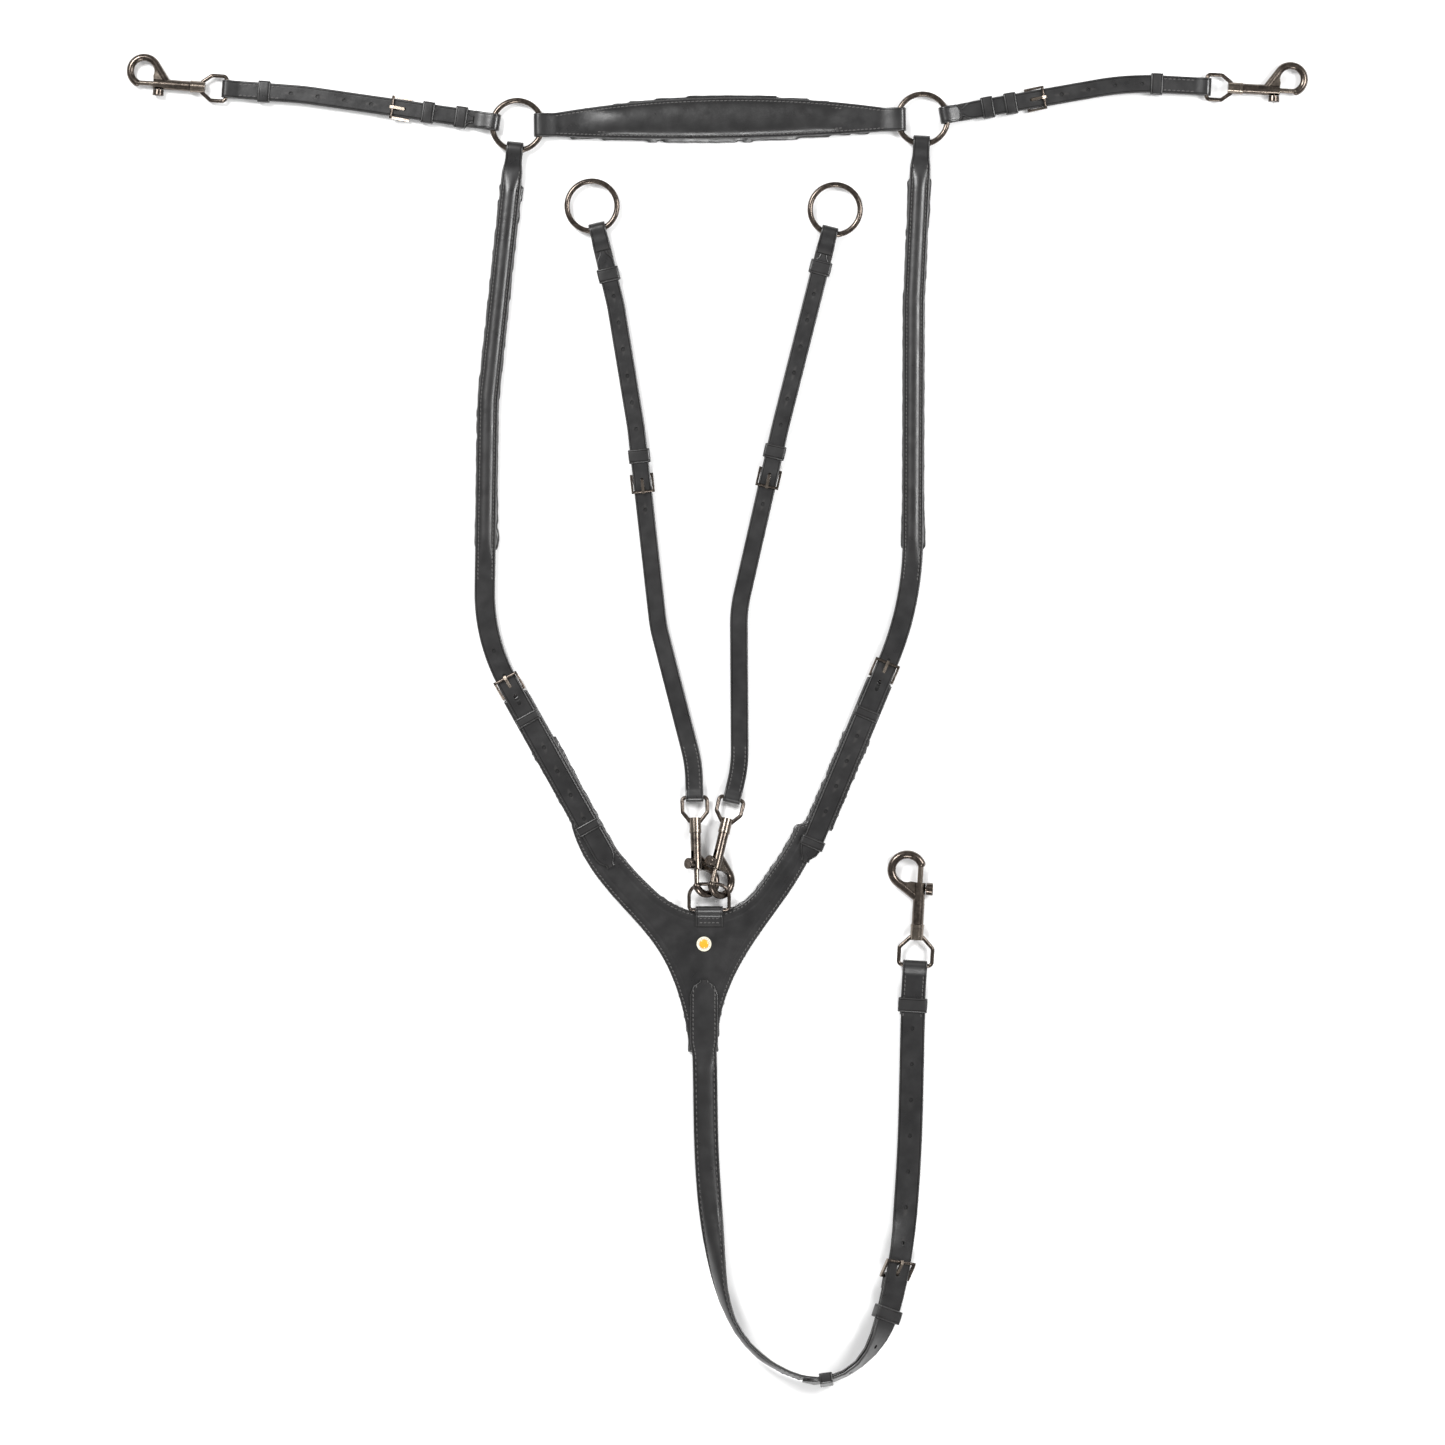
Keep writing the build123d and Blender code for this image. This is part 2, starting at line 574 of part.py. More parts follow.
for side in SIDES:
    toward_hook = polar(FORK_HEADING[side])
    eye = Vector(*FORK_EYE[side])
    foot = eye - toward_hook * FORK_FOOT
    bends = [*FORK_KNEE[side], FORK_UPPER[side]]
    start = ring_exit(FORK_RING[side], bends[0])
    run = heading(start, bends[0])
    middle_run = heading(FORK_UPPER[side], FORK_LOWER[side])
    sewn_from = foot + heading(foot, FORK_LOWER[side]) * (FORK_SEWN - FORK_FOOT)
    buckle_spot = Vector(*FORK_UPPER[side]) + middle_run * FORK_BUCKLE[side]
    pivot = flat_plane(buckle_spot, middle_run, MID - PIVOT_DROP)
    with BuildPart() as fork_strap:
        strip((start + run * 12, *bends, buckle_spot + middle_run * 0.5), FORK_BEND, NARROW, MID - LEATHER,
              2 * LEATHER)
        strip((buckle_spot, FORK_LOWER[side], foot, eye - toward_hook * 6), FORK_BEND, NARROW, MID, LEATHER)
        strip((sewn_from, foot, eye - toward_hook * 6), FORK_BEND, NARROW, MID - LEATHER, LEATHER)
        end_loop(start, -run, 3.9, 1.2, FOLD_WALL, 14, NARROW - 1)
        end_loop(eye, toward_hook, EYE_WIRE + 0.5, 0.01, FOLD_WALL, 8, NARROW)
        chape(pivot, NARROW - 0.6)
        slit(pivot, -4.0, 12.5, 0, PIVOT_DROP + LEATHER + 0.5)
    save(fork_strap, f"fork_strap_{side}")
    place(narrow_frame, pivot, f"fork_buckle_{side}")
    place(tongue, pivot, f"fork_tongue_{side}")
    keeper_spot = flat_plane(Vector(*FORK_UPPER[side]) + middle_run * FORK_KEEPER[side], middle_run, 0)
    slider_spot = flat_plane(start + run * FORK_SLIDER[side], run, 0)
    for piece_name, spot in (("keeper", keeper_spot), ("slider", slider_spot)):
        with BuildPart() as fork_keeper:
            snug_sleeve(spot, 12.5)
        save(fork_keeper, f"fork_{piece_name}_{side}")
    ring(f"fork_ring_{side}", FORK_RING[side], RING_MEAN, RING_WIRE)
    tilt, roll = radians(SNAP_TILT), radians(SNAP_ROLL)
    across = Vector(-toward_hook.Y, toward_hook.X)
    climb = toward_hook * cos(tilt) + Vector(0, 0, sin(tilt))
    upward = Vector(0, 0, cos(tilt)) - toward_hook * sin(tilt)
    eye_plane = Plane(origin=(eye.X, eye.Y, MID), x_dir=climb, z_dir=upward)
    hook_plane = Plane(origin=(eye.X, eye.Y, MID), x_dir=climb, z_dir=upward * cos(roll) + across * sin(roll))
    place(small_parts["eye"], eye_plane, f"fork_eye_{side}")
    place(small_parts["hook"], hook_plane, f"fork_hook_{side}")
    place(small_parts["bolt"], hook_plane, f"fork_bolt_{side}")


# ---- Girth strap: from the yoke's stem, turning on edge round a long bend, to its buckle -----------------

girth_route = Spline((0.0, -85.0), (2.3, -185.0), (9.9, -275.0), (27.9, -343.0), (68.4, -382.0),
                     (104.4, -391.0), (140.4, -374.0), (170.0, -310.0), (181.8, -230.0), (187.2, -95.0),
                     (189.9, -19.0))
# The strap's roll in degrees at shares of the route: it stands on edge round the bend.
GIRTH_ROLL = ((0.14, 0.0), (0.36, 76.0), (0.50, 78.0), (0.61, 24.0), (0.66, 22.0), (0.74, 0.0))
GIRTH_STEP = 0.0185  # share of the route between two sections of the loft
GIRTH_BUCKLE = 34 * GIRTH_STEP  # share of the route at the buckle's pivot bar
GIRTH_TIP = 24 * GIRTH_STEP  # and at the billet's tip
GIRTH_END = 53 * GIRTH_STEP  # and at the end of the billet's loft
GIRTH_KEEPERS = (0.585, 0.475)  # and at the two keepers round strap and billet
SNAP_KEEPER = 36.0  # from the snap's eye to the keeper beside it
BILLET_LIFT = LEATHER + 2 * GAP  # from the middle of the strap up to the middle of the billet on it
KEEPER_ROOM = 1.0  # room round the two straps inside a keeper
BAND_HALF = GIRTH / 2 + 1.2 + KEEPER  # half the width of a keeper, on which the strap stands
BAND_DEPTH = LEATHER / 2 + KEEPER_ROOM + KEEPER  # from the strap's middle to a keeper's underside


def ease(stops, share):
    """Value at a share of the route, easing smoothly from each stop to the next."""
    if share <= stops[0][0]:
        return stops[0][1]
    for (a, low), (b, high) in zip(stops, stops[1:]):
        if share <= b:
            x = (share - a) / (b - a)
            return low + (high - low) * x * x * (3 - 2 * x)
    return stops[-1][1]


def girth_plane(share, lift):
    """Plane on the strap at a share of its route: X along it and Z out of its top face, raised by lift."""
    spot = girth_route @ share
    along_it = (girth_route % share).normalized()
    outward = Vector(along_it.Y, -along_it.X)
    roll_angle = radians(ease(GIRTH_ROLL, share))
    top_face = Vector(0, 0, cos(roll_angle)) + outward * sin(roll_angle)
    height = max(MID + LEATHER / 2, BAND_HALF * sin(roll_angle) + BAND_DEPTH * cos(roll_angle) + GAP)
    centre = Vector(spot.X, spot.Y, height) + top_face * lift
    return Plane(origin=centre, x_dir=along_it, z_dir=top_face)


def girth_strip(first, last, lift_stops):
    """Strap lofted along the girth route between two shares of it, added to the current part."""
    count = round((last - first) / GIRTH_STEP)
    sections = []
    for index in range(count + 1):
        share = first + (last - first) * index / count
        plane = girth_plane(share, ease(lift_stops, share))
        with BuildSketch(Plane(origin=plane.origin, x_dir=plane.y_dir, z_dir=plane.x_dir)) as section:
            Rectangle(GIRTH, LEATHER)
        sections.append(section.sketch)
    loft(sections, ruled=True)


BILLET_STOPS = ((GIRTH_BUCKLE + 0.04, BILLET_LIFT), (0.78, 0.0))
girth_pivot = girth_plane(GIRTH_BUCKLE, BILLET_LIFT - LEATHER / 2 - PIVOT_DROP)

with BuildPart() as girth_strap:
    with BuildSketch(Plane.XY.offset(YOKE_TOP)):
        with BuildLine():
            Polyline((11.0, -96.0), (12.7, -84.0), (12.7, -42.0))
            ThreePointArc((12.7, -42.0), (0, -30.5), (-12.7, -42.0))
            Polyline((-12.7, -42.0), (-12.7, -84.0), (-11.0, -96.0), (11.0, -96.0))
        make_face()
    extrude(amount=LEATHER)
    girth_strip(0.0, GIRTH_BUCKLE, ((0.0, -0.35), (0.04, 0.0)))
    chape(girth_pivot, GIRTH - 0.8)
save(girth_strap, "girth_strap")

girth_end = girth_route @ 1
girth_heading = (girth_route % 1).normalized()
with BuildPart() as girth_billet:
    girth_strip(GIRTH_TIP, GIRTH_END, BILLET_STOPS)
    slit(girth_pivot, 1.0, 12.5, PIVOT_DROP - 0.6, PIVOT_DROP + LEATHER + 0.6)
    strip((girth_end - girth_heading * 45, girth_end - girth_heading * 8), 0, GIRTH, MID - LEATHER, LEATHER)
    strip((girth_route @ GIRTH_END - girth_heading, girth_end - girth_heading * 8), 0, GIRTH, MID, LEATHER)
    end_loop(girth_end, girth_heading, EYE_WIRE + 0.3, 0.01, FOLD_WALL, 10, GIRTH)
save(girth_billet, "girth_billet")

place(buckle_frame(GIRTH + 1.5), girth_pivot, "girth_buckle")
place(tongue, girth_pivot, "girth_tongue")

with BuildPart() as girth_keepers:
    for share in GIRTH_KEEPERS:
        sleeve(girth_plane(share, 0), -LEATHER / 2 - KEEPER_ROOM, BILLET_LIFT + LEATHER / 2 + KEEPER_ROOM,
               2 * (BAND_HALF - KEEPER), 12.0)
    sleeve(flat_plane(girth_end - girth_heading * SNAP_KEEPER, girth_heading, 0), MID - LEATHER - KEEPER_GAP,
           MID + LEATHER + 2 * KEEPER_GAP, GIRTH + 4 * KEEPER_GAP, 13.0)
save(girth_keepers, "girth_keepers")

girth_snap = Plane(origin=(girth_end.X, girth_end.Y, MID), x_dir=girth_heading, z_dir=(0, 0, 1))
for piece_name, pattern in large_parts.items():
    place(pattern, girth_snap, f"girth_{piece_name}")
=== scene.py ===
"""Looks of the running martingale: straps, padded linings and stitching round the CAD model's metal.

Lengths and places are in millimetres and mesh data is written in metres. A strap is worked out along
its own route: s is the distance along it, a the distance across it and h the height above the seam.
"""

import json
from math import cos, hypot, pi, radians, sin, tan

import bmesh
import bpy
import numpy as np
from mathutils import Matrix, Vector
from mathutils.bvhtree import BVHTree

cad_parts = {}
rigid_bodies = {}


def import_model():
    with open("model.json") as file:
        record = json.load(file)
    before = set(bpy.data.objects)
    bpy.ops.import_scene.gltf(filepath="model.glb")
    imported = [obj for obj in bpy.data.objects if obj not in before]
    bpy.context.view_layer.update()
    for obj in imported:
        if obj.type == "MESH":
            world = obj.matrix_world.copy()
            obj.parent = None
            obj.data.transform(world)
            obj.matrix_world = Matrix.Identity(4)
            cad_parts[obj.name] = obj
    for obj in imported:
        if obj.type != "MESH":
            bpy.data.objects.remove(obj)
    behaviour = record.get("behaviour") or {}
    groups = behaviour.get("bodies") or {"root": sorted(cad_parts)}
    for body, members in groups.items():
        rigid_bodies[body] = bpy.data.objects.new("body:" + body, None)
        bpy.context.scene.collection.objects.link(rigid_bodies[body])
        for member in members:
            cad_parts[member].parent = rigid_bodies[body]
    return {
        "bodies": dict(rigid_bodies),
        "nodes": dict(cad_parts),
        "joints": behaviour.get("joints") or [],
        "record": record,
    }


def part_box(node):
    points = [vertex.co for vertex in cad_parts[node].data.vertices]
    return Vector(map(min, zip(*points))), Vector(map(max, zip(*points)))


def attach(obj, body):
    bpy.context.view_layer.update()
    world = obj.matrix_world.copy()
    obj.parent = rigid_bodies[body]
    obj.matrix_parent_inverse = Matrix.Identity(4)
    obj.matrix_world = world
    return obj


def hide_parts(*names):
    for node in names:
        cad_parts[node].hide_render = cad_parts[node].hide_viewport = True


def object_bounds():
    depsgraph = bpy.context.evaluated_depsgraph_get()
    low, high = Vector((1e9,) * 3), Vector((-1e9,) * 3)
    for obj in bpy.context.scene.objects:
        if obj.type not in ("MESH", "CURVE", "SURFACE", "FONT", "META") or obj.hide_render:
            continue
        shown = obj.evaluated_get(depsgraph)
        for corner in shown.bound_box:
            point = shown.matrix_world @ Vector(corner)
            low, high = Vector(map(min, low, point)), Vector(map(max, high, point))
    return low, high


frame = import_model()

cad_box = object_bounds()

# ---- Sizes -------------------------------------------------------------------

MM = 0.001
MID = 6.6  # height of the seam between the two layers of a doubled strap
LEATHER = 2.2  # thickness of one layer
SKIN = 2.12  # thickness of a strap's mesh, which leaves a hair's breadth between two layers
SEAM = LEATHER / 2  # from MID to the middle of either layer
NARROW = 16.0  # width of the fork and saddle straps
NECK = 18.5  # width of the neck straps
GIRTH = 22.0  # width of the girth strap
PIVOT_DROP = 3.6  # from the seam down to a buckle's pivot bar
KEEPER = 1.5  # leather thickness of a keeper
KEEPER_GAP = 0.35  # room between a keeper and the strap inside it
HOLE = 1.8  # radius of a punched hole
SLOT = 1.7  # half width of a slot for a buckle's tongue
PUNCHED = 0.7  # a punched hole starts this far above the seam
CLEAR_ABOVE = 6.0  # clear of a strap, from the seam up
CLEAR_BELOW = -9.0  # clear of a strap and its chape, from the seam down
SHARP = 38  # edges sharper than this many degrees stay sharp
SIDES = ("l", "r")
UP = Vector((0, 0, 1))

joints = {joint["name"]: joint for joint in frame["joints"]}


def joint_place(name):
    """A joint's place at rest, in millimetres."""
    return Vector(joints[name]["pos_m"]) / MM


def middle(node):
    """Middle of a CAD node's box, in millimetres."""
    low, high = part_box(node)
    return (low + high) / 2 / MM


def ease(low, high, value):
    """0 below low, 1 above high, and a smooth step between them."""
    x = min(max((value - low) / (high - low), 0.0), 1.0)
    return x * x * (3 - 2 * x)


# ---- Materials ---------------------------------------------------------------


class Surface:
    """One procedural material under construction."""

    def __init__(self, name, roughness, metallic=0.0):
        self.material = bpy.data.materials.new(name)
        self.material.use_nodes = True
        self.nodes = self.material.node_tree.nodes
        self.links = self.material.node_tree.links
        self.shader = self.nodes["Principled BSDF"]
        self.shader.inputs["Roughness"].default_value = roughness
        self.shader.inputs["Metallic"].default_value = metallic
        self.place = self.nodes.new("ShaderNodeTexCoord").outputs["Object"]

    def noise(self, scale, detail=3.0, stretch=None):
        """Value of a noise whose features are about 1/scale metres across."""
        texture = self.nodes.new("ShaderNodeTexNoise")
        texture.inputs["Scale"].default_value = scale
        texture.inputs["Detail"].default_value = detail
        self.links.new(self.stretched(stretch), texture.inputs["Vector"])
        return texture.outputs["Fac"]

    def stretched(self, stretch):
        """The object's coordinates, scaled by a vector where one is given."""
        if stretch is None:
            return self.place
        mapping = self.nodes.new("ShaderNodeMapping")
        mapping.inputs["Scale"].default_value = stretch
        self.links.new(self.place, mapping.inputs["Vector"])
        return mapping.outputs["Vector"]

    def cells(self, scale):
        """Distance to the edges of small cells, as in the grain of leather."""
        texture = self.nodes.new("ShaderNodeTexVoronoi")
        texture.feature = "DISTANCE_TO_EDGE"
        texture.inputs["Scale"].default_value = scale
        self.links.new(self.place, texture.inputs["Vector"])
        return texture.outputs["Distance"]

    def spread(self, value, low, high, start=0.35, end=0.65):
        """A value mapped from start..end to low..high."""
        node = self.nodes.new("ShaderNodeMapRange")
        node.inputs["From Min"].default_value = start
        node.inputs["From Max"].default_value = end
        node.inputs["To Min"].default_value = low
        node.inputs["To Max"].default_value = high
        self.links.new(value, node.inputs["Value"])
        return node.outputs["Result"]

    def blend(self, factor, first, second):
        """Colour between two colours, or from a socket to a colour."""
        node = self.nodes.new("ShaderNodeMix")
        node.data_type = "RGBA"
        self.links.new(factor, node.inputs["Factor"])
        if isinstance(first, tuple):
            node.inputs["A"].default_value = (*first, 1)
        else:
            self.links.new(first, node.inputs["A"])
        node.inputs["B"].default_value = (*second, 1)
        return node.outputs["Result"]

    def bump(self, height, strength, depth):
        """Add one layer of relief, depth metres deep, under the layers added before."""
        node = self.nodes.new("ShaderNodeBump")
        node.inputs["Strength"].default_value = strength
        node.inputs["Distance"].default_value = depth
        self.links.new(height, node.inputs["Height"])
        if self.shader.inputs["Normal"].is_linked:
            self.links.new(self.shader.inputs["Normal"].links[0].from_socket, node.inputs["Normal"])
        self.links.new(node.outputs["Normal"], self.shader.inputs["Normal"])

    def feed(self, socket, value):
        """Join a node's output to one of the shader's sockets."""
        self.links.new(value, self.shader.inputs[socket])


def leather(name, dark, light, worn, rough_low, rough_high, grain):
    """Finished leather: fine grain, soft creases, and edges that have rubbed paler."""
    look = Surface(name, rough_low)
    tone = look.blend(look.spread(look.noise(38, 5), 0, 1), dark, light)
    edges = look.nodes.new("ShaderNodeNewGeometry").outputs["Pointiness"]
    look.feed("Base Color", look.blend(look.spread(edges, 0, 0.55, 0.5, 0.58), tone, worn))
    look.feed("Roughness", look.spread(look.noise(70, 6), rough_low, rough_high, 0.3, 0.7))
    look.bump(look.noise(160, 4), 0.35, 0.0005)
    look.bump(look.cells(grain), 0.45, 0.00012)
    look.bump(look.noise(2600, 2), 0.25, 0.00006)
    look.shader.inputs["Specular IOR Level"].default_value = 0.5
    look.shader.inputs["Coat Weight"].default_value = 0.22
    look.shader.inputs["Coat Roughness"].default_value = 0.28
    return look.material


def gunmetal():
    """Polished black nickel: brownish, brighter where edges have worn, with fine rubbing marks."""
    look = Surface("gunmetal", 0.22, 1.0)
    tone = look.blend(look.spread(look.noise(300, 2), 0, 1), (0.07, 0.058, 0.05), (0.13, 0.107, 0.09))
    edges = look.nodes.new("ShaderNodeNewGeometry").outputs["Pointiness"]
    look.feed("Base Color", look.blend(look.spread(edges, 0, 0.4, 0.53, 0.62), tone, (0.4, 0.34, 0.28)))
    look.feed("Roughness", look.spread(look.noise(240, 3), 0.16, 0.3, 0.3, 0.7))
    look.bump(look.noise(420, 3, (1, 1, 5)), 0.08, 0.00005)
    look.bump(look.noise(3200, 2), 0.1, 0.00003)
    return look.material


def thread():
    """Waxed dark thread with a twist."""
    look = Surface("waxed_thread", 0.42)
    look.feed("Base Color", look.blend(look.noise(300, 2), (0.02, 0.019, 0.019), (0.075, 0.07, 0.068)))
    look.bump(look.noise(1500, 2), 0.4, 0.0001)
    look.shader.inputs["Sheen Weight"].default_value = 0.3
    return look.material


def enamel(name, base, darker):
    """Glossy enamel, slightly uneven."""
    look = Surface(name, 0.25)
    look.feed("Base Color", look.blend(look.noise(700, 3), base, darker))
    look.feed("Roughness", look.spread(look.noise(500, 3), 0.18, 0.4))
    look.bump(look.noise(600, 3), 0.2, 0.0001)
    look.shader.inputs["Coat Weight"].default_value = 0.5
    return look.material


LOOKS = {
    "strap_leather": leather("strap_leather", (0.006, 0.0058, 0.0062), (0.01, 0.0095, 0.0098),
                             (0.03, 0.028, 0.027), 0.26, 0.44, 850),
    "lining_leather": leather("lining_leather", (0.005, 0.0048, 0.0052), (0.0095, 0.009, 0.0092),
                              (0.02, 0.019, 0.0185), 0.22, 0.4, 620),
    "gunmetal": gunmetal(),
    "badge_enamel": enamel("badge_enamel", (0.86, 0.4, 0.02), (0.72, 0.28, 0.01)),
}
THREAD = thread()
PALE_ENAMEL = enamel("pale_enamel", (0.74, 0.72, 0.6), (0.6, 0.56, 0.43))

for node, cad in frame["nodes"].items():
    row = next(part for part in frame["record"]["subparts"] if part["node"] == node)
    for material_slot in cad.material_slots:
        material_slot.material = LOOKS[row["material_slot"]]


# ---- Mesh helpers ------------------------------------------------------------


def finish_piece(piece, body, slot, material, *nodes):
    """Give a new piece its material and its body, and hide the CAD nodes that it stands for."""
    piece.data.materials.clear()
    piece.data.materials.append(material)
    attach(piece, body)
    if nodes:
        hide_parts(*nodes)
    return piece


def in_leather(piece, body, *nodes):
    """Finish a piece in strap leather."""
    return finish_piece(piece, body, "strap_leather", LOOKS["strap_leather"], *nodes)


def linked(name, data):
    """New object in the scene that holds a mesh, a lamp or a camera."""
    thing = bpy.data.objects.new(name, data)
    bpy.context.scene.collection.objects.link(thing)
    return thing


def points_of(mesh):
    """A mesh's points as an array, in metres."""
    return np.array([tuple(vertex.co) for vertex in mesh.vertices])


def move_points(piece, points):
    """Put a piece's points at the places in an array, in metres."""
    piece.data.vertices.foreach_set("co", points.astype(np.float32).ravel())


def add_piece(name, points, faces, sharp=SHARP):
    """New object from points in millimetres, shaded smooth but for edges sharper than an angle."""
    mesh = bpy.data.meshes.new(name)
    mesh.from_pydata([Vector(point) * MM for point in points], [], faces)
    shape = bmesh.new()
    shape.from_mesh(mesh)
    bmesh.ops.recalc_face_normals(shape, faces=shape.faces)
    shape.to_mesh(mesh)
    shape.free()
    mesh.shade_smooth()
    mesh.set_sharp_from_angle(angle=radians(sharp))
    return linked(name, mesh)


def loft(frames, sections, closed=False):
    """Points and faces of a tube through frames of (centre, across, out), each with its own section."""
    points = []
    for (centre, across, out), section in zip(frames, sections):
        points += [centre + across * a + out * h for a, h in section]
    count = len(sections[0])
    rows = len(frames)
    faces = []
    for row in range(rows if closed else rows - 1):
        here = row * count
        there = (row + 1) % rows * count
        for k in range(count):
            after = (k + 1) % count
            faces.append((here + k, here + after, there + after, there + k))
    if not closed:
        faces.append(tuple(range(count)))
        faces.append(tuple(range((rows - 1) * count, rows * count))[::-1])
    return points, faces


def evaluated(piece):
    """The piece's mesh with its modifiers applied, which are then removed."""
    bpy.context.view_layer.update()
    depsgraph = bpy.context.evaluated_depsgraph_get()
    mesh = bpy.data.meshes.new_from_object(piece.evaluated_get(depsgraph))
    piece.modifiers.clear()
    piece.data = mesh
    return mesh


def cut(piece, cutters):
    """Subtract closed (points, faces) shapes, in millimetres, from a piece."""
    if not cutters:
        return
    points, faces = [], []
    for more_points, more_faces in cutters:
        base = len(points)
        points += more_points
        faces += [tuple(base + k for k in face) for face in more_faces]
    tool = add_piece(f"{piece.name}_cutter", points, faces)
    boolean = piece.modifiers.new("holes", "BOOLEAN")
    boolean.operation = "DIFFERENCE"
    boolean.solver = "EXACT"
    boolean.object = tool
    boolean.use_self = True
    mesh = evaluated(piece)
    bpy.data.objects.remove(tool)
    mesh.shade_smooth()
    mesh.set_sharp_from_angle(angle=radians(SHARP))


# ---- Straps ------------------------------------------------------------------


class Route:
    """A strap's centreline in plan: straight runs joined by arcs, going on straight past both ends."""

    def __init__(self, points, bend=0.0):
        path = [Vector(point[:2]) for point in points]
        line = [path[0]]
        for before, corner, after in zip(path, path[1:], path[2:]):
            back = (before - corner).normalized()
            ahead = (after - corner).normalized()
            turn = pi - back.angle(ahead)
            reach = bend * tan(turn / 2)
            steps = max(2, int(turn * 60))
            for k in range(steps + 1):
                t = k / steps
                line.append((corner + back * reach) * (1 - t) ** 2 + corner * 2 * t * (1 - t)
                            + (corner + ahead * reach) * t * t)
        line.append(path[-1])
        self.line = np.array([tuple(point) for point in line])
        self.reach = np.concatenate(([0.0], np.cumsum(np.hypot(*np.diff(self.line, axis=0).T))))
        self.length = float(self.reach[-1])

    def spot(self, s):
        """Point at a distance along the route, held at its ends."""
        return Vector((float(np.interp(s, self.reach, self.line[:, k])) for k in (0, 1)))

    def at(self, s):
        """Point and direction at a distance along the route."""
        inside = min(max(s, 0.0), self.length)
        ahead = self.spot(min(inside + 1.5, self.length)) - self.spot(max(inside - 1.5, 0.0))
        ahead.normalize()
        point = self.spot(inside) + ahead * (s - inside)
        return point.to_3d(), ahead.to_3d()

    def nearest(self, point):
        """Distance along the route of the place nearest to a point."""
        tries = np.linspace(0, self.length, 1200)
        gaps = [(self.spot(s) - Vector(point[:2])).length for s in tries]
        return float(tries[int(np.argmin(gaps))])


def dense(path, step=4.0):
    """The path with points added so that none are further apart than step."""
    line = [path[0]]
    for (s0, h0), (s1, h1) in zip(path, path[1:]):
        count = max(1, int(hypot(s1 - s0, h1 - h0) / step))
        line += [(s0 + (s1 - s0) * k / count, h0 + (h1 - h0) * k / count) for k in range(1, count + 1)]
    return line


def fold(at, facing, radius, lead, reach=0.0, drop=0.0):
    """Path of a layer folded round a bar: in along the top, round towards facing, out underneath."""
    top = [(at - facing * lead * (1 - t), SEAM + (radius - SEAM) * ease(0, 1, t))
           for t in np.linspace(0, 1, 7)]
    arc = [(at + facing * (reach + radius * sin(turn)), radius * cos(turn))
           for turn in np.linspace(0, pi, 11)]
    bottom = [(s, -h) for s, h in reversed(top)]
    return [(s, h - drop) for s, h in top + arc + bottom]


EDGE = ((0.0, 0.95), (0.16, 0.42), (0.5, 0.12), (1.0, 0.0), (1.5, 0.0), (1.8, 0.34), (2.1, 0.04),
        (2.7, 0.0))  # (inset, drop) from a strap's edge: rounded, then creased
ACROSS = (1.0, 0.92, 0.78, 0.58, 0.32, 0.0)


def strap_section(half, thickness, rise):
    """Cross-section of a strap: rounded and creased edges, and a middle that rises by rise."""
    top = [(half - inset, thickness / 2 - drop) for inset, drop in EDGE]
    inner = half - EDGE[-1][0] - 0.4
    crown = [(inner * x, thickness / 2 + rise * (1 - x * x) ** 0.7) for x in ACROSS]
    right = top + crown
    left = [(-a, h) for a, h in reversed(right[:-1])]
    under = [(-half + 0.3, -thickness / 2), (0.0, -thickness / 2), (half - 0.3, -thickness / 2)]
    return right + left + under


def stations(route, path, lean=None):
    """Frames along a path of (s, h) over a route; lean(s) shifts the middle sideways."""
    frames = []
    count = len(path)
    for k, (s, h) in enumerate(path):
        s0, h0 = path[max(k - 1, 0)]
        s1, h1 = path[min(k + 1, count - 1)]
        point, ahead = route.at(s)
        across = UP.cross(ahead)
        run, climb = s1 - s0, h1 - h0
        size = hypot(run, climb)
        out = (UP * run - ahead * climb) / size
        shift = lean(s) if lean else 0.0
        frames.append((point + across * shift + UP * (MID + h), across, out))
    return frames


def strap(name, route, path, half, rise=None, lean=None, thickness=SKIN, step=4.0):
    """Strip of leather along a path. half is a number or a function of s and h; rise is one of s."""
    line = dense(path, step)
    frames = stations(route, line, lean)
    width = half if callable(half) else (lambda s, h: half)
    height = rise if callable(rise) else (lambda s: 0.0)
    sections = []
    for (s, h), (centre, across, out) in zip(line, frames):
        raised = height(s) if out.z > 0.9 and h > -0.5 else 0.0
        sections.append(strap_section(width(s, h), thickness, raised))
    return add_piece(name, *loft(frames, sections))


def tip_share(s, end, facing, length=12.0):
    """Share of a strap's width that is left near its rounded point at s = end."""
    left = (end - s) * facing / length
    if left < -0.05 or left >= 1:
        return 1.0
    return max(1 - (1 - max(left, 0.0)) ** 2.4, 0.42)


def joined(*pieces):
    """One piece made of several."""
    first = pieces[0]
    shape = bmesh.new()
    for piece in pieces:
        shape.from_mesh(piece.data)
    shape.to_mesh(first.data)
    shape.free()
    for piece in pieces[1:]:
        bpy.data.objects.remove(piece)
    return first


def bore(frame_at, outline, low, high):
    """Cutter at a frame of (centre, ahead, across, out); outline holds (along, across) places."""
    centre, ahead, across, out = frame_at
    count = len(outline)
    points = [centre + ahead * u + across * v + out * h for h in (low, high) for u, v in outline]
    faces = [tuple(range(count))[::-1], tuple(range(count, 2 * count))]
    for k in range(count):
        after = (k + 1) % count
        faces.append((k, after, count + after, count + k))
    return points, faces


ROUND = [(HOLE * 1.15 * cos(t), HOLE * sin(t)) for t in np.linspace(0, 2 * pi, 14, endpoint=False)]


def flat_frame(route, s):
    """Frame on a flat strap at the seam's height."""
    point, ahead = route.at(s)
    return point + UP * MID, ahead, UP.cross(ahead), UP


def hole(route, s):
    """Cutter for one punched hole through the top layer."""
    return bore(flat_frame(route, s), ROUND, PUNCHED, CLEAR_ABOVE)


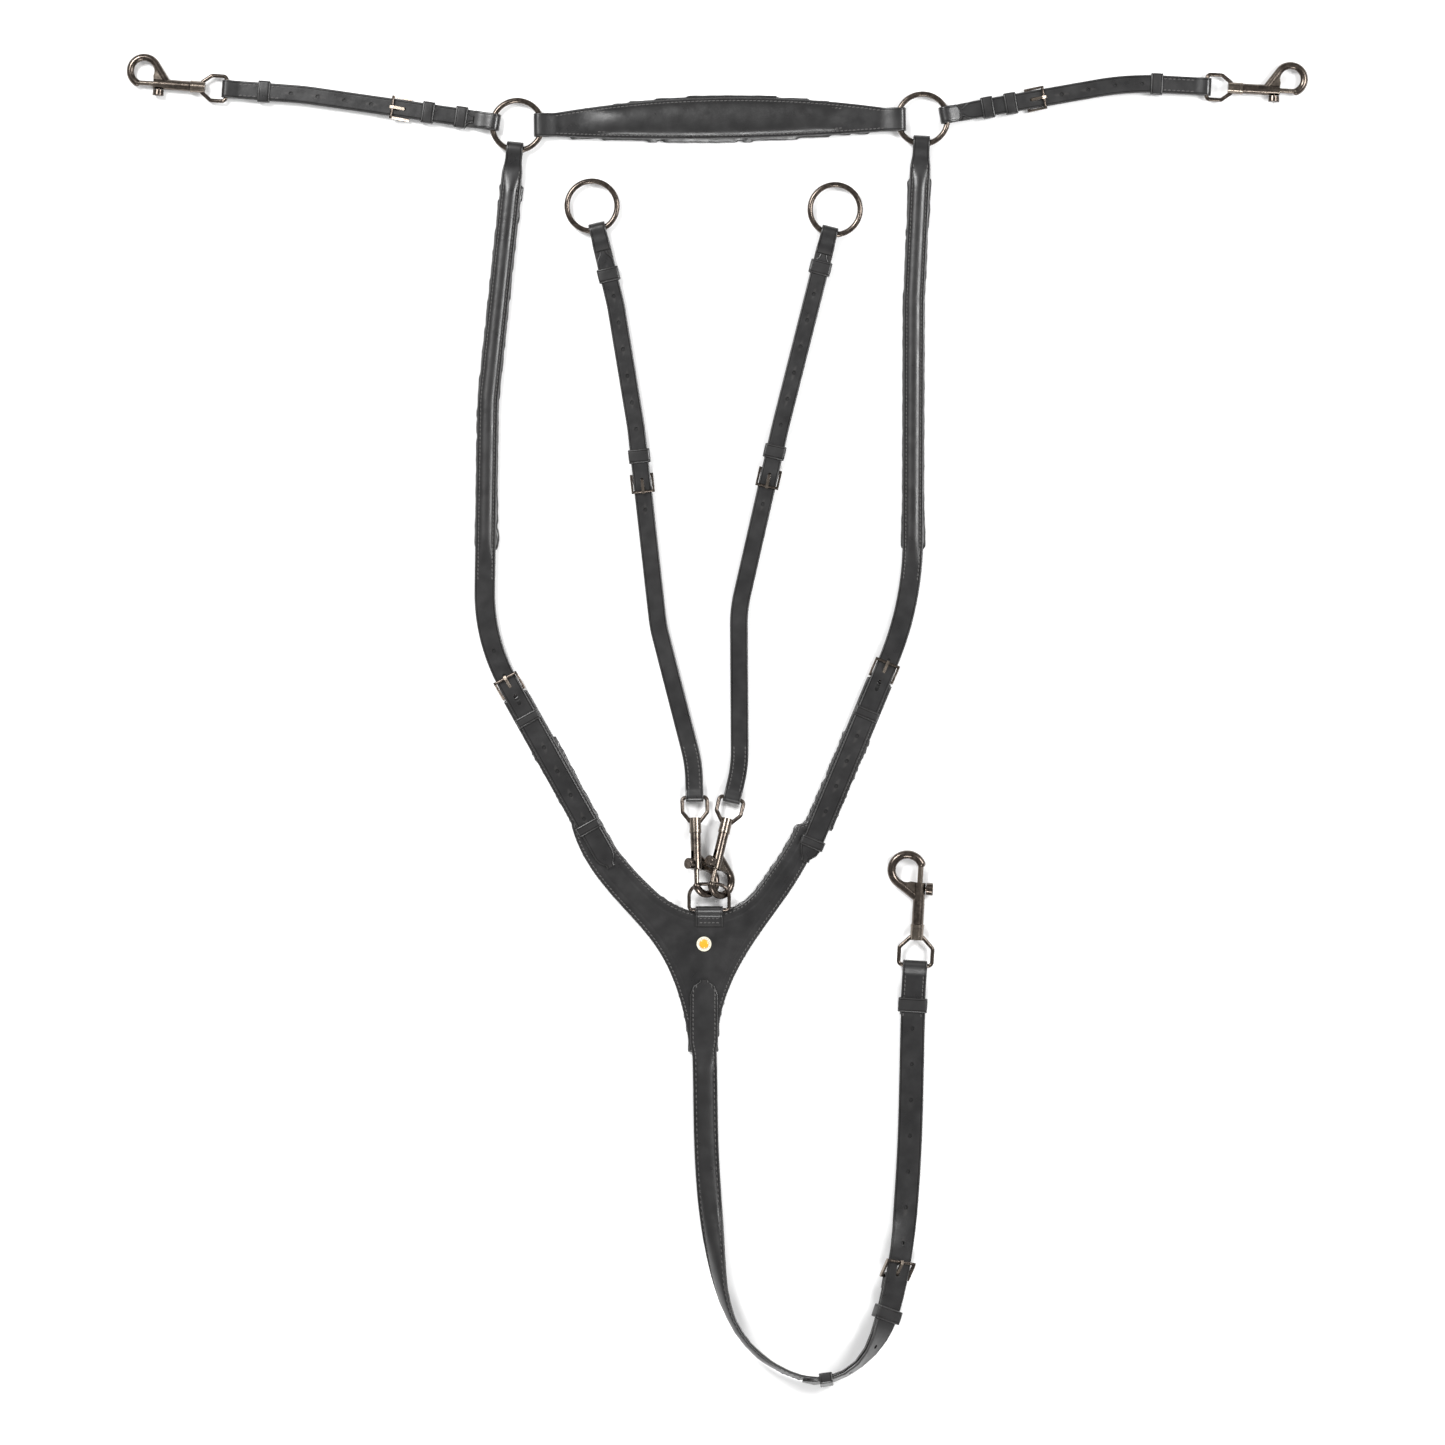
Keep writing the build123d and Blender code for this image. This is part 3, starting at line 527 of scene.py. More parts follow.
def rounded_slot(first, last, half):
    """Outline of a slot with rounded ends."""
    ends = ((last - half, -pi / 2), (first + half, pi / 2))
    return [(u + half * cos(t), half * sin(t))
            for u, turn in ends for t in np.linspace(turn, turn + pi, 6)]


def tongue_slots(route, s):
    """Cutters for a buckle's tongue: long through the fold below the seam, shorter through the top."""
    spot = flat_frame(route, s)
    return [bore(spot, rounded_slot(-4.2, 12.5, SLOT), CLEAR_BELOW, 0.015),
            bore(spot, rounded_slot(2.4, 11.6, SLOT), 0.02, CLEAR_ABOVE)]


# ---- Stitches: small beads of thread in rows, gathered by body ---------------

STITCH = 2.7  # length of one stitch
STITCH_PITCH = 3.7
STITCH_RINGS = ((-0.5, 0.12), (-0.42, 0.36), (-0.15, 0.5), (0.15, 0.5), (0.42, 0.36), (0.5, 0.12))
STITCH_SIDES = 6
seams = {body: [] for body in frame["bodies"]}


def sew(body, place_at, first, last):
    """Row of stitches along place_at(s), which gives a point and a direction, between two distances."""
    count = max(1, int((last - first) / STITCH_PITCH))
    for k in range(count + 1):
        s = first + (last - first) * k / count
        seams[body].append(place_at(s))


def beside(route, offset, height, lean=None):
    """Places on a strap's top face, offset sideways; offset and height are functions of s or numbers."""
    def place_at(s):
        point, ahead = route.at(s)
        across = UP.cross(ahead)
        aside = offset(s) if callable(offset) else offset
        shift = lean(s) if lean else 0.0
        return point + across * (aside + shift) + UP * height, ahead, UP
    return place_at


def stitch_mesh(rows):
    """Points and faces of every stitch in a list of (place, direction, out)."""
    points, faces = [], []
    for place_here, ahead, out in rows:
        across = out.cross(ahead).normalized()
        slant = (ahead + across * 0.12).normalized()
        base = len(points)
        for along, radius in STITCH_RINGS:
            for k in range(STITCH_SIDES):
                turn = 2 * pi * k / STITCH_SIDES
                points.append(place_here + slant * along * STITCH
                              + (across * cos(turn) + out * (sin(turn) * 0.8 + 0.1)) * radius)
        last = base + (len(STITCH_RINGS) - 1) * STITCH_SIDES
        for here in range(base, last, STITCH_SIDES):
            above = here + STITCH_SIDES
            for k in range(STITCH_SIDES):
                after = (k + 1) % STITCH_SIDES
                faces.append((here + k, here + after, above + after, above + k))
        faces.append(tuple(range(base, base + STITCH_SIDES))[::-1])
        faces.append(tuple(range(last, last + STITCH_SIDES)))
    return points, faces


# ---- Keepers: flat leather bands sewn into a loop ----------------------------


def keeper(name, centre, ahead, out, low, high, inner, length):
    """Band round a strap; low and high are its inner faces along out, and inner its inner width."""
    across = out.cross(ahead).normalized()
    half = inner / 2 + KEEPER / 2
    bottom, top = low - KEEPER / 2, high + KEEPER / 2
    round_off = 1.3
    frames = []
    corners = ((half, top, 0), (-half, top, pi / 2), (-half, bottom, pi), (half, bottom, 3 * pi / 2))
    for a, h, turn in corners:
        ca = a - round_off * (1 if a > 0 else -1)
        ch = h - round_off * (1 if h == top else -1)
        for t in np.linspace(turn, turn + pi / 2, 6):
            outward = across * cos(t) + out * sin(t)
            spot = centre + across * ca + out * ch + outward * round_off
            frames.append((spot, ahead, outward))
    sections = [strap_section(length / 2, KEEPER, 0.0)] * len(frames)
    return add_piece(name, *loft(frames, sections, closed=True))


# ---- Padded linings ----------------------------------------------------------


def pillow(name, route, first, last, half, crown, lean=None, wave=0.35):
    """Thin cushion along a route, with puckered edges; half and crown, its height, depend on s."""
    frames, sections = [], []
    count = int((last - first) / 2.6)
    for k in range(count + 1):
        s = first + (last - first) * k / count
        point, ahead = route.at(s)
        across = UP.cross(ahead)
        shift = lean(s) if lean else 0.0
        end = min(s - first, last - s)
        full = ease(-2.5, 7, end) ** 0.5
        frames.append((point + across * shift + UP * crown(s) / 2, across, UP))
        section = []
        for j in range(20):
            turn = 2 * pi * j / 20
            side = 1 if cos(turn) > 0 else -1
            pucker = wave * (0.6 * sin(s / 2.3 + side) + 0.4 * sin(s / 5.1 + 2 * side))
            a = (half(s) + pucker) * full * abs(cos(turn)) ** 0.7 * side
            h = crown(s) / 2 * full * abs(sin(turn)) ** 0.55 * (1 if sin(turn) > 0 else -1)
            section.append((a, h))
        sections.append(section)
    return add_piece(name, *loft(frames, sections), sharp=70)


def puff(piece, voxel, cap, covers, pressure=4.0, frames=20):
    """Fill a pad by cloth simulation; no point moves past cap, into the floor or into its covers."""
    remesh = piece.modifiers.new("remesh", "REMESH")
    remesh.mode = "VOXEL"
    remesh.voxel_size = voxel * MM
    evaluated(piece)
    rest = points_of(piece.data)
    cloth = piece.modifiers.new("Cloth", "CLOTH")
    cloth.settings.use_pressure = True
    cloth.settings.uniform_pressure_force = pressure
    cloth.settings.effector_weights.gravity = 0.0
    for index in range(1, frames + 1):
        bpy.context.scene.frame_set(index)
    evaluated(piece)
    bpy.context.scene.frame_set(1)
    moved = points_of(piece.data) - rest
    size = np.linalg.norm(moved, axis=1, keepdims=True)
    moved *= np.minimum(1.0, cap * MM / np.maximum(size, 1e-9))
    now = rest + moved
    now[:, 2] = np.maximum(now[:, 2], 0.05 * MM)
    trees = []
    for cover in covers:
        corners = [vertex.co for vertex in cover.data.vertices]
        trees.append(BVHTree.FromPolygons(corners, [face.vertices for face in cover.data.polygons]))
    for index, point in enumerate(now):
        for tree in trees:
            hit = tree.ray_cast(Vector((point[0], point[1], -0.001)), UP, 0.03)[0]
            if hit is not None and point[2] > hit.z - 0.15 * MM:
                point[2] = hit.z - 0.15 * MM
    move_points(piece, now)
    subdivide = piece.modifiers.new("subdivide", "SUBSURF")
    subdivide.levels = 1
    subdivide.render_levels = 1
    evaluated(piece).shade_smooth()


# ---- Saddle straps -----------------------------------------------------------

HOLE_PITCH = 24.3
SADDLE_KNEE = 70.0  # from the snap's eye back to the strap's slight bend
SADDLE_TIP = 224.0  # from the eye back to the billet's point
SADDLE_KEEPERS = {"l": (183, 213), "r": (178, 199)}  # from the eye back to each sewn keeper
SADDLE_KEEPER = 11.0  # length of a keeper along the strap
SEWN = 46.0  # length sewn double above a snap's eye
CHAPE_WALL = 1.5
CHAPE_RADIUS = 2.1
TIP_GAP = 1.2  # from a billet's point to the layer that ends in front of it
RING_FOLD = (0, -1, 4.8, 14, 1.2)  # where, which way, radius, lead and reach of a fold round a ring


def ring_exit(ring, towards):
    """Where a strap meets the middle of a ring's wire."""
    centre = middle(ring)
    low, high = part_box(ring)
    wire = (high.z - low.z) / MM / 2
    mean = (high.x - low.x) / MM / 2 - wire
    return centre + (towards - centre).to_2d().normalized().to_3d() * mean


def chape(name, route, s, half):
    """Short fold of leather round a buckle's pivot bar."""
    path = fold(s, 1, CHAPE_RADIUS, 11, drop=PIVOT_DROP)
    return strap(name, route, path, half - 0.3, thickness=CHAPE_WALL, step=1.5)


def band(name, route, s, low, high, inner, length):
    """Keeper round a flat strap; low and high are heights from the floor."""
    point, ahead = route.at(s)
    return keeper(name, point, ahead, UP, low, high, inner, length)


def snug(name, route, s, length):
    """Keeper round a doubled narrow strap."""
    return band(name, route, s, MID - LEATHER - KEEPER_GAP, MID + LEATHER + KEEPER_GAP,
                NARROW + 2 * KEEPER_GAP, length)


def sew_edges(body, route, half, first, last, height=MID + LEATHER, lean=None):
    """A row of stitches along both edges of a strap."""
    for edge in (-1, 1):
        sew(body, beside(route, edge * (half - 2.9), height, lean), first, last)


for side in SIDES:
    eye = joint_place(f"saddle_snap_lift_{side}")
    toward_hook = Vector(joints[f"saddle_snap_swivel_{side}"]["axis"])
    knee = eye - toward_hook * SADDLE_KNEE
    route = Route([ring_exit(f"wither_ring_{side}", knee), knee, eye], 250)
    full = route.length
    tip = full - SADDLE_TIP
    pivot = route.nearest(joint_place(f"saddle_tongue_play_{side}"))

    def half(s, h, tip=tip):
        near_tip = tip_share(s, tip, -1) if h > 0 else 1.0
        return (NARROW / 2 - 0.5 * (1 - ease(4, 16, s))) * near_tip

    path = [(tip, SEAM)] + fold(full, 1, 3.0, 12) + fold(*RING_FOLD)[::-1] + [(tip - TIP_GAP, SEAM)]
    body = f"saddle_strap_{side}"
    slots = tongue_slots(route, pivot)
    piece = strap(f"{body}_leather", route, path, half, step=3.0)
    cut(piece, slots + [hole(route, full - 58.5 - HOLE_PITCH * k) for k in range(4)])
    bar_fold = chape(f"{body}_chape", route, pivot, NARROW / 2)
    cut(bar_fold, slots[:1])
    joined(piece, bar_fold)
    in_leather(piece, body, body)
    sew_edges(body, route, NARROW / 2, full - SEWN, full - 13)
    keepers = []
    for k, distance in enumerate(SADDLE_KEEPERS[side]):
        spot = route.at(full - distance)[0]
        keepers.append(snug(f"saddle_keeper_{side}_{k}", route, route.nearest(spot), SADDLE_KEEPER))
    in_leather(joined(*keepers), body, f"saddle_keepers_{side}")
    slider_at = route.nearest(middle(f"saddle_slider_{side}"))
    slider = snug(f"saddle_loop_{side}", route, slider_at, SADDLE_KEEPER)
    in_leather(slider, f"saddle_slider_{side}", f"saddle_slider_{side}")


# ---- Fork straps -------------------------------------------------------------

FORK_KNEES = {"l": [(-79.4, 575.0), (-61.1, 464.5), (-41.0, 285.3)],
              "r": [(69.0, 466.7), (31.3, 301.1)]}
FORK_FOOT = 30.0  # from the snap's eye up to the strap's last bend
FORK_BEND = 120.0
BILLET_START = 19.5  # from the ring's wire to the billet's point
FORK_HOLES = {"l": range(-8, 2), "r": range(-7, 2)}

for side in SIDES:
    eye = joint_place(f"fork_strap_lift_{side}")
    toward_hook = Vector(joints[f"fork_snap_swivel_{side}"]["axis"]).to_2d().normalized().to_3d()
    knees = [Vector((*knee, 0)) for knee in FORK_KNEES[side]]
    foot = eye - toward_hook * FORK_FOOT
    route = Route([ring_exit(f"fork_ring_{side}", knees[0]), *knees, foot, eye], FORK_BEND)
    full = route.length
    pivot = route.nearest(joint_place(f"fork_tongue_play_{side}"))
    body = f"fork_strap_{side}"

    def half(s, h):
        near_tip = tip_share(s, BILLET_START, -1) if h > 0 else 1.0
        return (NARROW / 2 - 0.5 * (1 - ease(4, 16, s))) * near_tip

    billet_path = [(BILLET_START, SEAM)] + fold(full, 1, 3.2, 8) + [(full - SEWN, -SEAM)]
    upper_path = [(pivot + 0.8, -SEAM)] + fold(*RING_FOLD)[::-1] + [(BILLET_START - TIP_GAP, SEAM)]
    billet = strap(body, route, billet_path, half, step=3.0)
    upper = strap(f"{body}_upper", route, upper_path, half, step=3.0)
    bar_fold = chape(f"{body}_chape", route, pivot, NARROW / 2)
    punched = [pivot + 7 + HOLE_PITCH * k for k in FORK_HOLES[side] if k not in (-1, 0)]
    slots = tongue_slots(route, pivot)
    cut(billet, slots[1:] + [hole(route, s) for s in punched])
    cut(upper, slots[:1])
    cut(bar_fold, slots[:1])
    piece = joined(billet, upper, bar_fold)
    piece.name = f"{body}_leather"
    in_leather(piece, body, body)
    sew_edges(body, route, NARROW / 2, full - SEWN, full - 9)
    for part, rides in (("keeper", body), ("slider", f"fork_slider_{side}")):
        node = f"fork_{part}_{side}"
        loop = snug(f"fork_loop_{part}_{side}", route, route.nearest(middle(node)), 12.5)
        in_leather(loop, rides, node)


# ---- Neck straps with their padded linings -----------------------------------

NECK_KNEES = {"l": [(-194.4, 489.6), (-198.0, 273.6), (-83.7, 69.3)],
              "r": [(189.0, 579.6), (187.7, 306.9), (90.7, 74.4)]}
NECK_BEND = {"l": 170.0, "r": 290.0}
NECK_HOLES = {"l": (-2, -1, 2, 3, 4, 5), "r": (-1, 2, 3, 4, 5)}
LINING_HALF = 12.0
LINING_FIRST = 26.0  # from the ring's wire to the lining's end
neck_routes = {}
pads = []

for side in SIDES:
    knees = [Vector((*knee, 0)) for knee in NECK_KNEES[side]]
    route = Route([ring_exit(f"wither_ring_{side}", knees[0]), *knees], NECK_BEND[side])
    neck_routes[side] = route
    full = route.length
    pivot = route.nearest(joint_place(f"neck_tongue_play_{side}"))
    low_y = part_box("neck_linings")[0].y / MM
    pad_end = float(np.interp(-low_y - 1.5, -route.line[:, 1], route.reach))
    name = f"neck_strap_{side}"

    def half(s, h, full=full):
        return (7.5 + 1.75 * ease(8, 22, s)) * tip_share(s, full, 1, 15.0)

    def rise(s, pad_end=pad_end):
        return 2.3 * ease(16, 40, s) * (1 - ease(pad_end - 16, pad_end + 16, s))

    path = [(50, -SEAM)] + fold(0, -1, 5.3, 16, 1.5)[::-1] + [(full, SEAM)]
    piece = strap(f"{name}_leather", route, path, half, rise, step=3.0)
    cut(piece, [bore(flat_frame(route, pivot), rounded_slot(1.4, 12.2, SLOT), -0.4, CLEAR_ABOVE)]
        + [hole(route, pivot + 7 + 24.5 * k) for k in NECK_HOLES[side]])
    in_leather(piece, "collar", name)
    sew_edges("collar", route, NECK / 2, 20, pad_end + 22)

    def crown(s):
        return 4.3 + 2.2 * ease(49, 54, s)

    pads.append(pillow(f"neck_lining_{side}", route, LINING_FIRST, pad_end,
                       lambda s: LINING_HALF, crown))

neck_lining = joined(*pads)
neck_lining.name = "neck_linings_padded"

keepers = []
for side, spots in (("l", (81.0, 193.0)), ("r", (108.0, 234.0))):
    route = neck_routes[side]
    corner = Vector((*NECK_KNEES[side][1], 0))
    arm_end = Vector((*NECK_KNEES[side][2], 0))
    for k, distance in enumerate(spots):
        spot = corner + (arm_end - corner).normalized() * distance
        keepers.append(band(f"neck_keeper_{side}_{k}", route, route.nearest(spot), 5.6,
                            MID + LEATHER + KEEPER_GAP, NECK + 2 * KEEPER_GAP, 9.0))
in_leather(joined(*keepers), "collar", "neck_keepers")


# ---- Wither pad --------------------------------------------------------------

ring_l, ring_r = middle("wither_ring_l"), middle("wither_ring_r")
pad_route = Route([ring_l, ring_r])
pad_length = pad_route.length
ring_mean = (ring_l - ring_exit("wither_ring_l", ring_r)).length
pad_fold = ring_mean  # along the route, where the leather meets a ring's wire


def lens(first, end_half, low, high):
    """Half width and sideways shift of a lens whose edges bow out to low and high."""
    def bow(s):
        t = min(max((s - first) / (pad_length - 2 * first), 0.0), 1.0)
        return 1 - (2 * t - 1) ** 2

    def half(s, h=0.0):
        return end_half + ((high + low) / 2 - end_half) * bow(s)

    def shift(s):
        return (high - low) / 2 * bow(s)
    return half, shift


leather_half, leather_lean = lens(34.0, 10.6, 15.0, 22.0)
lining_half, lining_lean = lens(40.0, 12.0, 20.5, 27.5)
PAD_FOLD_RADIUS = 3.7


def bolster(s):
    """Height of the stuffed ridge along the middle of the pad."""
    return 3.6 * ease(52, 96, s) * (1 - ease(pad_length - 96, pad_length - 52, s))


left_fold = fold(pad_fold, -1, PAD_FOLD_RADIUS, 16, 2.9)
right_fold = fold(pad_length - pad_fold, 1, PAD_FOLD_RADIUS, 16, 2.9)
pad_path = [(pad_fold + 60, -SEAM)] + left_fold[::-1]
pad_path += right_fold + [(pad_length - pad_fold - 60, -SEAM)]
wither_top = strap("wither_pad_leather", pad_route, pad_path, leather_half, bolster, leather_lean,
                   step=3.0)
in_leather(wither_top, "wither_pad", "wither_leather")


def pad_edge(edge, inset):
    """Places along one edge of the wither pad's leather."""
    return beside(pad_route, lambda s: edge * (leather_half(s) - inset), MID + LEATHER, leather_lean)


for edge in (-1, 1):
    sew("wither_pad", pad_edge(edge, 2.9), pad_fold + 6, pad_length - pad_fold - 6)
for edge in (-1, 1):
    def ridge_foot(s, edge=edge):
        return edge * (leather_half(s) * 0.62)

    ridge_line = beside(pad_route, ridge_foot, MID + LEATHER + 0.9, leather_lean)
    sew("wither_pad", ridge_line, 74, pad_length - 74)

wither_lining = pillow("wither_lining_padded", pad_route, 41.5, pad_length - 41.5, lining_half,
                       lambda s: 4.2, lining_lean, 0.45)


# ---- Yoke: its leather and lining start from the CAD solids, evened out and rounded 


def node_copy(name, node, voxel, passes):
    """Evenly meshed and slightly rounded copy of a CAD node."""
    shape = bmesh.new()
    shape.from_mesh(frame["nodes"][node].data)
    bmesh.ops.remove_doubles(shape, verts=shape.verts, dist=0.00002)
    mesh = bpy.data.meshes.new(name)
    shape.to_mesh(mesh)
    shape.free()
    piece = linked(name, mesh)
    remesh = piece.modifiers.new("remesh", "REMESH")
    remesh.mode = "VOXEL"
    remesh.voxel_size = voxel * MM
    smooth = piece.modifiers.new("smooth", "SMOOTH")
    smooth.factor = 0.5
    smooth.iterations = passes
    evaluated(piece).shade_smooth()
    return piece


def top_rim(node, height):
    """Closed loops of points round the flat top faces of a CAD node at a height."""
    mesh = frame["nodes"][node].data
    spots = [tuple(round(c / MM, 2) for c in vertex.co) for vertex in mesh.vertices]
    uses = {}
    for face in mesh.polygons:
        corners = [spots[k] for k in face.vertices]
        if all(abs(corner[2] - height) < 0.02 for corner in corners):
            for start, end in zip(corners, corners[1:] + corners[:1]):
                if start != end:
                    uses[(start, end)] = uses.get((start, end), 0) + 1
    after = {start: end for start, end in uses if (end, start) not in uses}
    loops = []
    while after:
        start, end = after.popitem()
        loop = [start]
        while end in after:
            loop.append(end)
            end = after.pop(end)
        if len(loop) > 8:
            loops.append([Vector(spot[:2]) for spot in loop])
    return loops


def rim_distance(loops, points):
    """Distance in plan from each point to the nearest loop."""
    nearest = np.full(len(points), 1e9)
    for loop in loops:
        ends = np.array([tuple(spot) for spot in loop])
        for start, end in zip(ends, np.roll(ends, -1, axis=0)):
            run = end - start
            share = np.clip(((points - start) @ run) / max(float(run @ run), 1e-9), 0, 1)
            nearest = np.minimum(nearest, np.hypot(*(points - start - share[:, None] * run).T))
    return nearest


YOKE_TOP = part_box("badge")[0].z / MM
yoke_loops = top_rim("yoke_leather", YOKE_TOP)
yoke = node_copy("yoke_leather_stitched", "yoke_leather", 1.0, 3)
flesh = points_of(yoke.data) / MM
on_top = flesh[:, 2] > YOKE_TOP - 1.0
inset = rim_distance(yoke_loops, flesh[on_top][:, :2])
crease = -0.4 * np.exp(-((inset - 3.0) / 0.6) ** 2) - 0.3 * np.exp(-((inset - 8.2) / 0.7) ** 2)
edge_round = -0.5 * np.exp(-(inset / 0.9) ** 2)
flesh[on_top, 2] += crease + edge_round
move_points(yoke, flesh * MM)
in_leather(yoke, "collar", "yoke_leather")

neck_buckles = [joint_place(f"neck_tongue_play_{side}") for side in SIDES]
tab_low, tab_high = (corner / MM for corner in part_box("dee_tab"))
for loop in yoke_loops:
    ends = loop + loop[:1]
    route = Route([spot.to_3d() for spot in ends])
    area = sum(a.x * b.y - b.x * a.y for a, b in zip(ends, ends[1:]))
    inward = 1 if area > 0 else -1
    count = int(route.length / STITCH_PITCH)
    for k in range(count):
        point, ahead = route.at(route.length * k / count)
        spot = point + UP.cross(ahead) * inward * 2.9
        under_panel = spot.y < -28 and abs(spot.x) < 14
        under_tab = tab_low.x - 2 < spot.x < tab_high.x + 2 and spot.y > tab_low.y - 3
        by_buckle = any((spot - buckle).to_2d().length < 20 for buckle in neck_buckles)
        if not under_panel and not under_tab and not by_buckle:
            seams["collar"].append((spot + UP * YOKE_TOP, ahead, UP))

yoke_lining = node_copy("yoke_lining_padded", "yoke_lining", 2.2, 4)
lining_loops = top_rim("yoke_lining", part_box("yoke_lining")[1].z / MM)
flesh = points_of(yoke_lining.data) / MM
inset = rim_distance(lining_loops, flesh[:, :2])
outward = flesh[:, :2] - flesh[:, :2].mean(0)
pucker = 0.3 * np.sin(flesh[:, 0] / 2.1 + flesh[:, 1] / 2.7) * np.exp(-(inset / 2.5) ** 2)
flesh[:, :2] += outward / np.linalg.norm(outward, axis=1, keepdims=True) * pucker[:, None]
move_points(yoke_lining, flesh * MM)

PAD_VOXEL = 2.4
neck_tops = [bpy.data.objects[f"neck_strap_{side}_leather"] for side in SIDES]
puff(yoke_lining, PAD_VOXEL, 1.2, [yoke])
puff(neck_lining, PAD_VOXEL, 1.4, neck_tops)
puff(wither_lining, PAD_VOXEL, 1.8, [wither_top])
for pad, body, node, fill in ((yoke_lining, "collar", "yoke_lining", 0.5),
                              (neck_lining, "collar", "neck_linings", 0.7),
                              (wither_lining, "wither_pad", "wither_lining", 0.7)):
    finish_piece(pad, body, "lining_leather", LOOKS["lining_leather"], node)


# ---- Girth strap: it follows the CAD strap's own sections, so that it turns on edge where that does 


def cross_section(node, origin, ahead, reach=17.0):
    """Middle, long direction and thickness direction of a CAD node where a plane cuts it near origin."""
    mesh = frame["nodes"][node].data
    spots = points_of(mesh) / MM
    ends = np.array([edge.vertices for edge in mesh.edges])
    side = (spots - np.array(origin)) @ np.array(ahead)
    first, second = ends[:, 0], ends[:, 1]
    crossing = side[first] * side[second] < 0
    first, second = first[crossing], second[crossing]
    share = side[first] / (side[first] - side[second])
    cuts = spots[first] + (spots[second] - spots[first]) * share[:, None]
    cuts = cuts[np.linalg.norm(cuts - np.array(origin), axis=1) < reach]
    if len(cuts) < 4:
        return None
    middle_guess = cuts.mean(0)
    vectors = np.linalg.eigh(np.cov((cuts - middle_guess).T))[1]
    across = vectors[:, 2]
    out = np.cross(np.array(ahead), across)
    span_a = (cuts - middle_guess) @ across
    span_h = (cuts - middle_guess) @ out
    centre = middle_guess + across * (span_a.max() + span_a.min()) / 2
    centre = centre + out * (span_h.max() + span_h.min()) / 2
    return Vector(centre), Vector(across).normalized(), Vector(out).normalized()


def walk(node, start, ahead, stop, step=5.0):
    """Frames along a CAD strap, from start in a direction until stop(place) or the strap's end."""
    frames = []
    place_now = start
    across_before = UP.cross(ahead)
    while len(frames) < 200:
        found = cross_section(node, place_now, ahead)
        if found is None or stop(found[0]):
            break
        centre, across, out = found
        if across.dot(across_before) < 0:
            across = -across
        out = ahead.cross(across)
        across_before = across
        if frames:
            ahead = (centre - frames[-1][0]).normalized()
        frames.append((centre, across, out, ahead))
        place_now = centre + ahead * step
    return frames


def walked_strap(name, frames, half, rise):
    """Strap lofted through walked frames; half and rise are functions of the distance walked."""
    walked = 0.0
    rows, sections = [], []
    before = frames[0][0]
    for centre, across, out, ahead in frames:
        walked += (centre - before).length
        before = centre
        rows.append((centre, across, out))
        sections.append(strap_section(half(walked), SKIN, rise(walked)))
    return add_piece(name, *loft(rows, sections))


def walk_length(frames):
    """Distance along walked frames."""
    return sum((after[0] - before[0]).length for before, after in zip(frames, frames[1:]))


GIRTH_DOUBLED = 48.0  # the billet is folded back and sewn this far above the snap's eye
GIRTH_SEAM = 36.0  # and the lofted billet starts here, under the keeper
girth_eye = joint_place("girth_snap_lift")
girth_pivot = joint_place("girth_tongue_play")
to_snap = Vector(joints["girth_snap_swivel"]["axis"])
down = Vector((0.02, -1, 0)).normalized()

billet_walk = walk("girth_billet", girth_eye - to_snap * GIRTH_DOUBLED, -to_snap, lambda spot: False)
centre, across, out, ahead = billet_walk[0]
lead_in = [(centre - ahead * (GIRTH_DOUBLED - GIRTH_SEAM) * t, across, out, ahead) for t in (1.0, 0.5)]
lead_in = [(spot + UP * (MID + SEAM - spot.z), a, o, d) for spot, a, o, d in lead_in]
billet_walk = lead_in + billet_walk
billet_length = walk_length(billet_walk)


def billet_half(walked):
    return GIRTH / 2 * tip_share(walked, billet_length, 1, 14.0)


billet = walked_strap("girth_billet_lofted", billet_walk, billet_half, lambda walked: 0.0)
end_route = Route([girth_eye - to_snap * 60, girth_eye])
end_path = [(60 - GIRTH_SEAM, SEAM)] + fold(60, 1, 3.35, 10) + [(60 - 45, -SEAM)]
billet_end = strap("girth_billet_end", end_route, end_path, GIRTH / 2, step=3.0)


def frame_on(walk_frames, spot):
    """The walked frame nearest to a place, moved along to it, as (centre, ahead, across, out)."""
    centre, across, out, ahead = min(walk_frames, key=lambda row: (row[0] - spot).length)
    return centre + ahead * (spot - centre).dot(ahead), ahead, across, out


def walked_place(walk_frames, distance):
    """Place at a distance along walked frames."""
    walked = 0.0
    for a, b in zip(walk_frames, walk_frames[1:]):
        run = (b[0] - a[0]).length
        if walked + run >= distance:
            return a[0].lerp(b[0], (distance - walked) / run)
        walked += run
    return walk_frames[-1][0]


GIRTH_HOLE_FIRST = 21.0
GIRTH_HOLE_PITCH = 32.2
GIRTH_CLEAR = 4.0  # clear of the girth strap, from its middle
GIRTH_SLOT = 1.8  # half width of the slot for the girth buckle's tongue
cutters = []
distance = GIRTH_HOLE_FIRST
while distance < billet_length - 20:
    spot = walked_place(billet_walk, distance)
    if (spot - girth_pivot).length > 24:
        cutters.append(bore(frame_on(billet_walk, spot), ROUND, -0.5, GIRTH_CLEAR))
    distance += GIRTH_HOLE_PITCH
slot_frame = frame_on(billet_walk, girth_pivot)
cutters.append(bore(slot_frame, rounded_slot(-12.4, -1.6, GIRTH_SLOT), -3.0, 3.0))
cut(billet, cutters)
billet = joined(billet, billet_end)
in_leather(billet, "collar", "girth_billet")
sew_edges("collar", end_route, GIRTH / 2, 60 - 45, 60 - 11)

